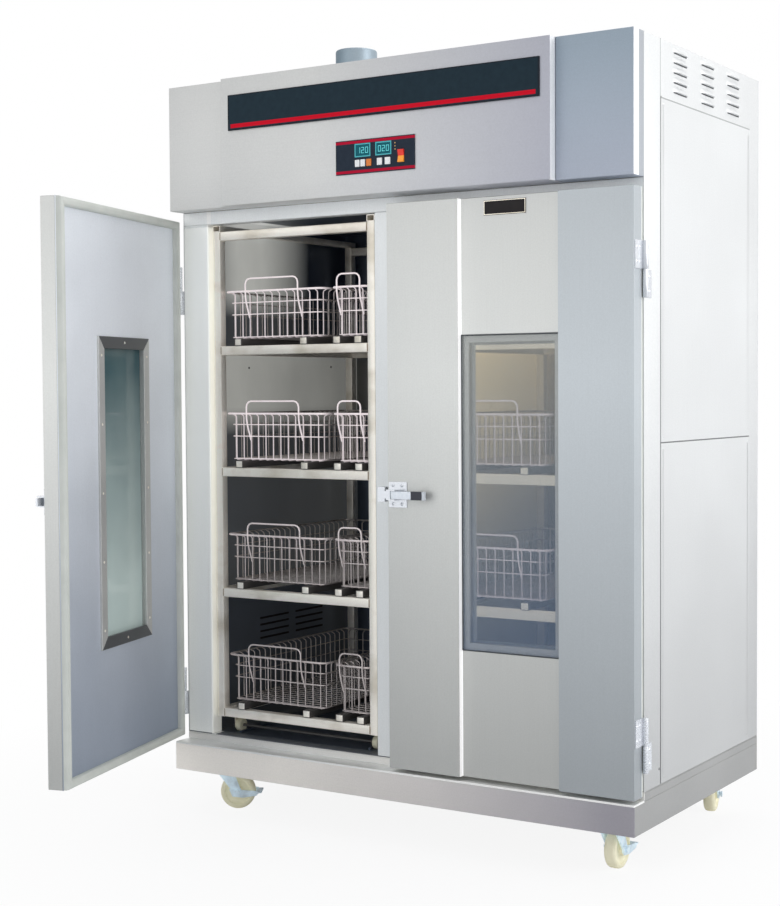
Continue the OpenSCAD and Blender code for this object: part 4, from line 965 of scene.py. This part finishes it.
# Painted reflection: each pane's colour runs between a dark and a pale tint with height, patchy, and the pane
# is partly opaque, standing for what the glass reflects.
PANES = (("left", (1.25, 0.7), (74, 104, 110), (218, 234, 230), 0.78),
         ("right", (0.5, 1.3), (124, 144, 172), (176, 180, 178), 0.22))
for side, heights, dark, pale, cover in PANES:
    pane = Finish(side + "_window_glass")
    reflection_noise = pane.noise(3, detail=3)
    level = pane.along("Z").ramp(*heights) + reflection_noise * 0.5 - 0.25
    painted_reflection = pane.blend(level.ramp(0, 1), tint(*dark), tint(*pale))
    dress(pane.surface({"Base Color": painted_reflection, "Roughness": 0.06, "Specular IOR Level": 0.25,
                        "Alpha": cover + reflection_noise * 0.05}), side + "_door_glass")


def trim_glow(sheet):
    """Light that comes through the closed door's window onto the trim behind it."""
    shine = (sheet.along("X") > 0) * sheet.along("Z").ramp(0.5, 1.3, 0.45, 1)
    return sheet.scaled(tint(128, 130, 126), shine)


# Painted shade and painted light: the window trims' top and bottom strips take the dark steel, their uprights
# the pale one.
trim_steel = brushed("trim_steel", tint(96, 98, 100), (1, 1, 1), rough=0.36, metal=0.5, cloud=0.6,
                     glow=trim_glow)
lit_trim_steel = brushed("lit_trim_steel", tint(196, 196, 194), (1, 1, 1), rough=0.36, metal=0.4, cloud=0.4,
                    glow=trim_glow)
bead_rows = [(0.001, -0.3782), (0.001, -0.370), (0.0025, -0.3655), (0.006, -0.3632), (0.012, -0.3624),
             (0.018, -0.3632), (0.0215, -0.3655), (0.023, -0.370), (0.023, -0.3782)]
screw = [(0, 0), (0, 0.0035), (0.0006, 0.0034), (0.0013, 0.0022), (0.0016, 0)]
trim_out = (0.221, 0.515, 0.526, 1.342)
trim_w, trim_y, trim_t = 0.032, -0.378, 0.006
trim_screw_in, trim_screw_end = 0.015, 0.05


def mitred_strips(rectangle, width, y, thick):
    """Four strips whose ends meet at 45 degrees: outer edge, inner edge, and a face drawn in by 1 mm."""
    x0, x1, z0, z1 = rectangle
    outer = np.array([(x0, z0), (x1, z0), (x1, z1), (x0, z1)])
    inner = outer + width * np.array([(1, 1), (-1, 1), (-1, -1), (1, -1)])
    strips = []
    for i in range(4):
        j = (i + 1) % 4
        ring = np.array([outer[i], outer[j], inner[j], inner[i]])
        middle = ring.mean(0)
        rows = []
        for depth, shrink in ((0, 0.0003), (thick - 0.001, 0.0003), (thick, 0.0012)):
            at = ring - np.sign(ring - middle) * shrink
            rows.append(np.stack([at[:, 0], np.full(4, y + depth), at[:, 1]], -1))
        strips.append(rings(np.array(rows)))
    return strips


for side, place in (("left", on_left_door), ("right", None)):
    body = side + "_door"
    put(side + "_seal", [loft([inset(door_rim, d, y) for d, y in bead_rows])], rubber, body,
        [side + "_door_seal"], place, 40)
    put(side + "_gasket", [rim_ring(window, 0.0002, 0.003, recess_y + 0.0005, recess_y - 0.0006)],
        gasket_rubber, body, (), place)
    strips = mitred_strips(trim_out, trim_w, trim_y, trim_t)
    put(side + "_window_trim", strips[::2], trim_steel, body, [side + "_window_frame"], place)
    put(side + "_upright_trim", strips[1::2], lit_trim_steel, body, (), place)
    x0, x1, z0, z1 = trim_out
    spots = [(x, z) for x in (x0 + trim_screw_in, x1 - trim_screw_in)
             for z in np.linspace(z0 + trim_screw_end, z1 - trim_screw_end, 5)]
    spots += [((x0 + x1) / 2, z) for z in (z0 + trim_screw_in, z1 - trim_screw_in)]
    heads = [turned(screw, (x, trim_y + trim_t, z), (0, 1, 0), 12) for x, z in spots]
    put(side + "_trim_screws", heads, rack_steel, body, (), place)

# the blank name plate at the top of the right door's recess, with a pale rim
plate = (0.295, 0.414, 1.633, 1.670)
black = mottled("plate_lacquer_and_slot_shade", 30, 4, (26, 24, 26), (46, 42, 42), 0.4, 0.1,
                {"Specular IOR Level": 0.15})
put("name_plate", [slab((plate[0], recess_y - 0.002, plate[2]), (plate[1], recess_y, plate[3]), 0.0008)],
    black, "right_door")
put("name_plate_rim", [rim_ring(plate, 0.0012, 0.0024, recess_y - 0.0018, recess_y - 0.0024)], rack_steel,
    "right_door")

# ---------------- hinges and latches
# Polished stainless leaves with their pins, the keeper, and levers with dark grips and a pale tip.
polished = brushed("bright_steel", tint(222, 225, 230), (1, 1, 1), rough=0.26, metal=0.6, depth=0.06)
hardware = ("cabinet_hardware", "left_door_hardware", "right_door_hardware")
dress(polished, *hardware)
for side in ("left", "right"):
    pivot = JOINTS[side + "_latch_pull"]["pos_m"]
    lever = Finish(side + "_lever_steel")
    reach = lever.node("ShaderNodeVectorMath", {"operation": "DISTANCE"}, {0: lever.place, 1: pivot},
                       "Value")
    scratch = lever.noise(120, detail=3)
    steel = lever.blend(scratch, tint(196, 204, 214), tint(232, 236, 240))
    grip = lever.blend(reach.between(0.0615, 0.0945), steel, tint(34, 38, 52))
    dress(lever.surface({"Base Color": grip, "Metallic": reach.ramp(0.060, 0.062, 0.6, 0.0),
                         "Roughness": 0.26 + scratch * 0.12}), side + "_latch_lever")
soften(0.0005, *hardware, "left_latch_lever", "right_latch_lever")

# ---------------- wall screws and vents
# Pan-head screws that hold the side sheets, and the screws and air slots of the lining beside
# the left rack. The heads stand 1.6 mm proud of the sheet.
side_spots = ((-0.272, 0.258), (-0.260, 1.907), (0.338, 1.872))
side_heads = [turned(screw, (side * half_w, y, z), (side, 0, 0), 12)
              for side in (-1, 1) for y, z in side_spots]
put("side_screws", side_heads, trim_steel, "cabinet")
liner_x = -0.643
liner_spots = ((-0.148, 1.265), (0.278, 1.271))
liner_heads = [turned(screw, (liner_x, y, z), (1, 0, 0), 12) for y, z in liner_spots]
put("lining_screws", liner_heads, dark_gap, "cabinet")
# The air slots are dark slabs: painted shade in the openings.
vent_l, vent_h = 0.145, 0.006
vents = [slab((liner_x - 0.0005, y, z), (liner_x + 0.0008, y + vent_l, z + vent_h), 0.0003, 1)
         for y in (-0.105, 0.075) for z in (0.455, 0.475, 0.495, 0.515)]
put("lining_vents", vents, black, "cabinet")
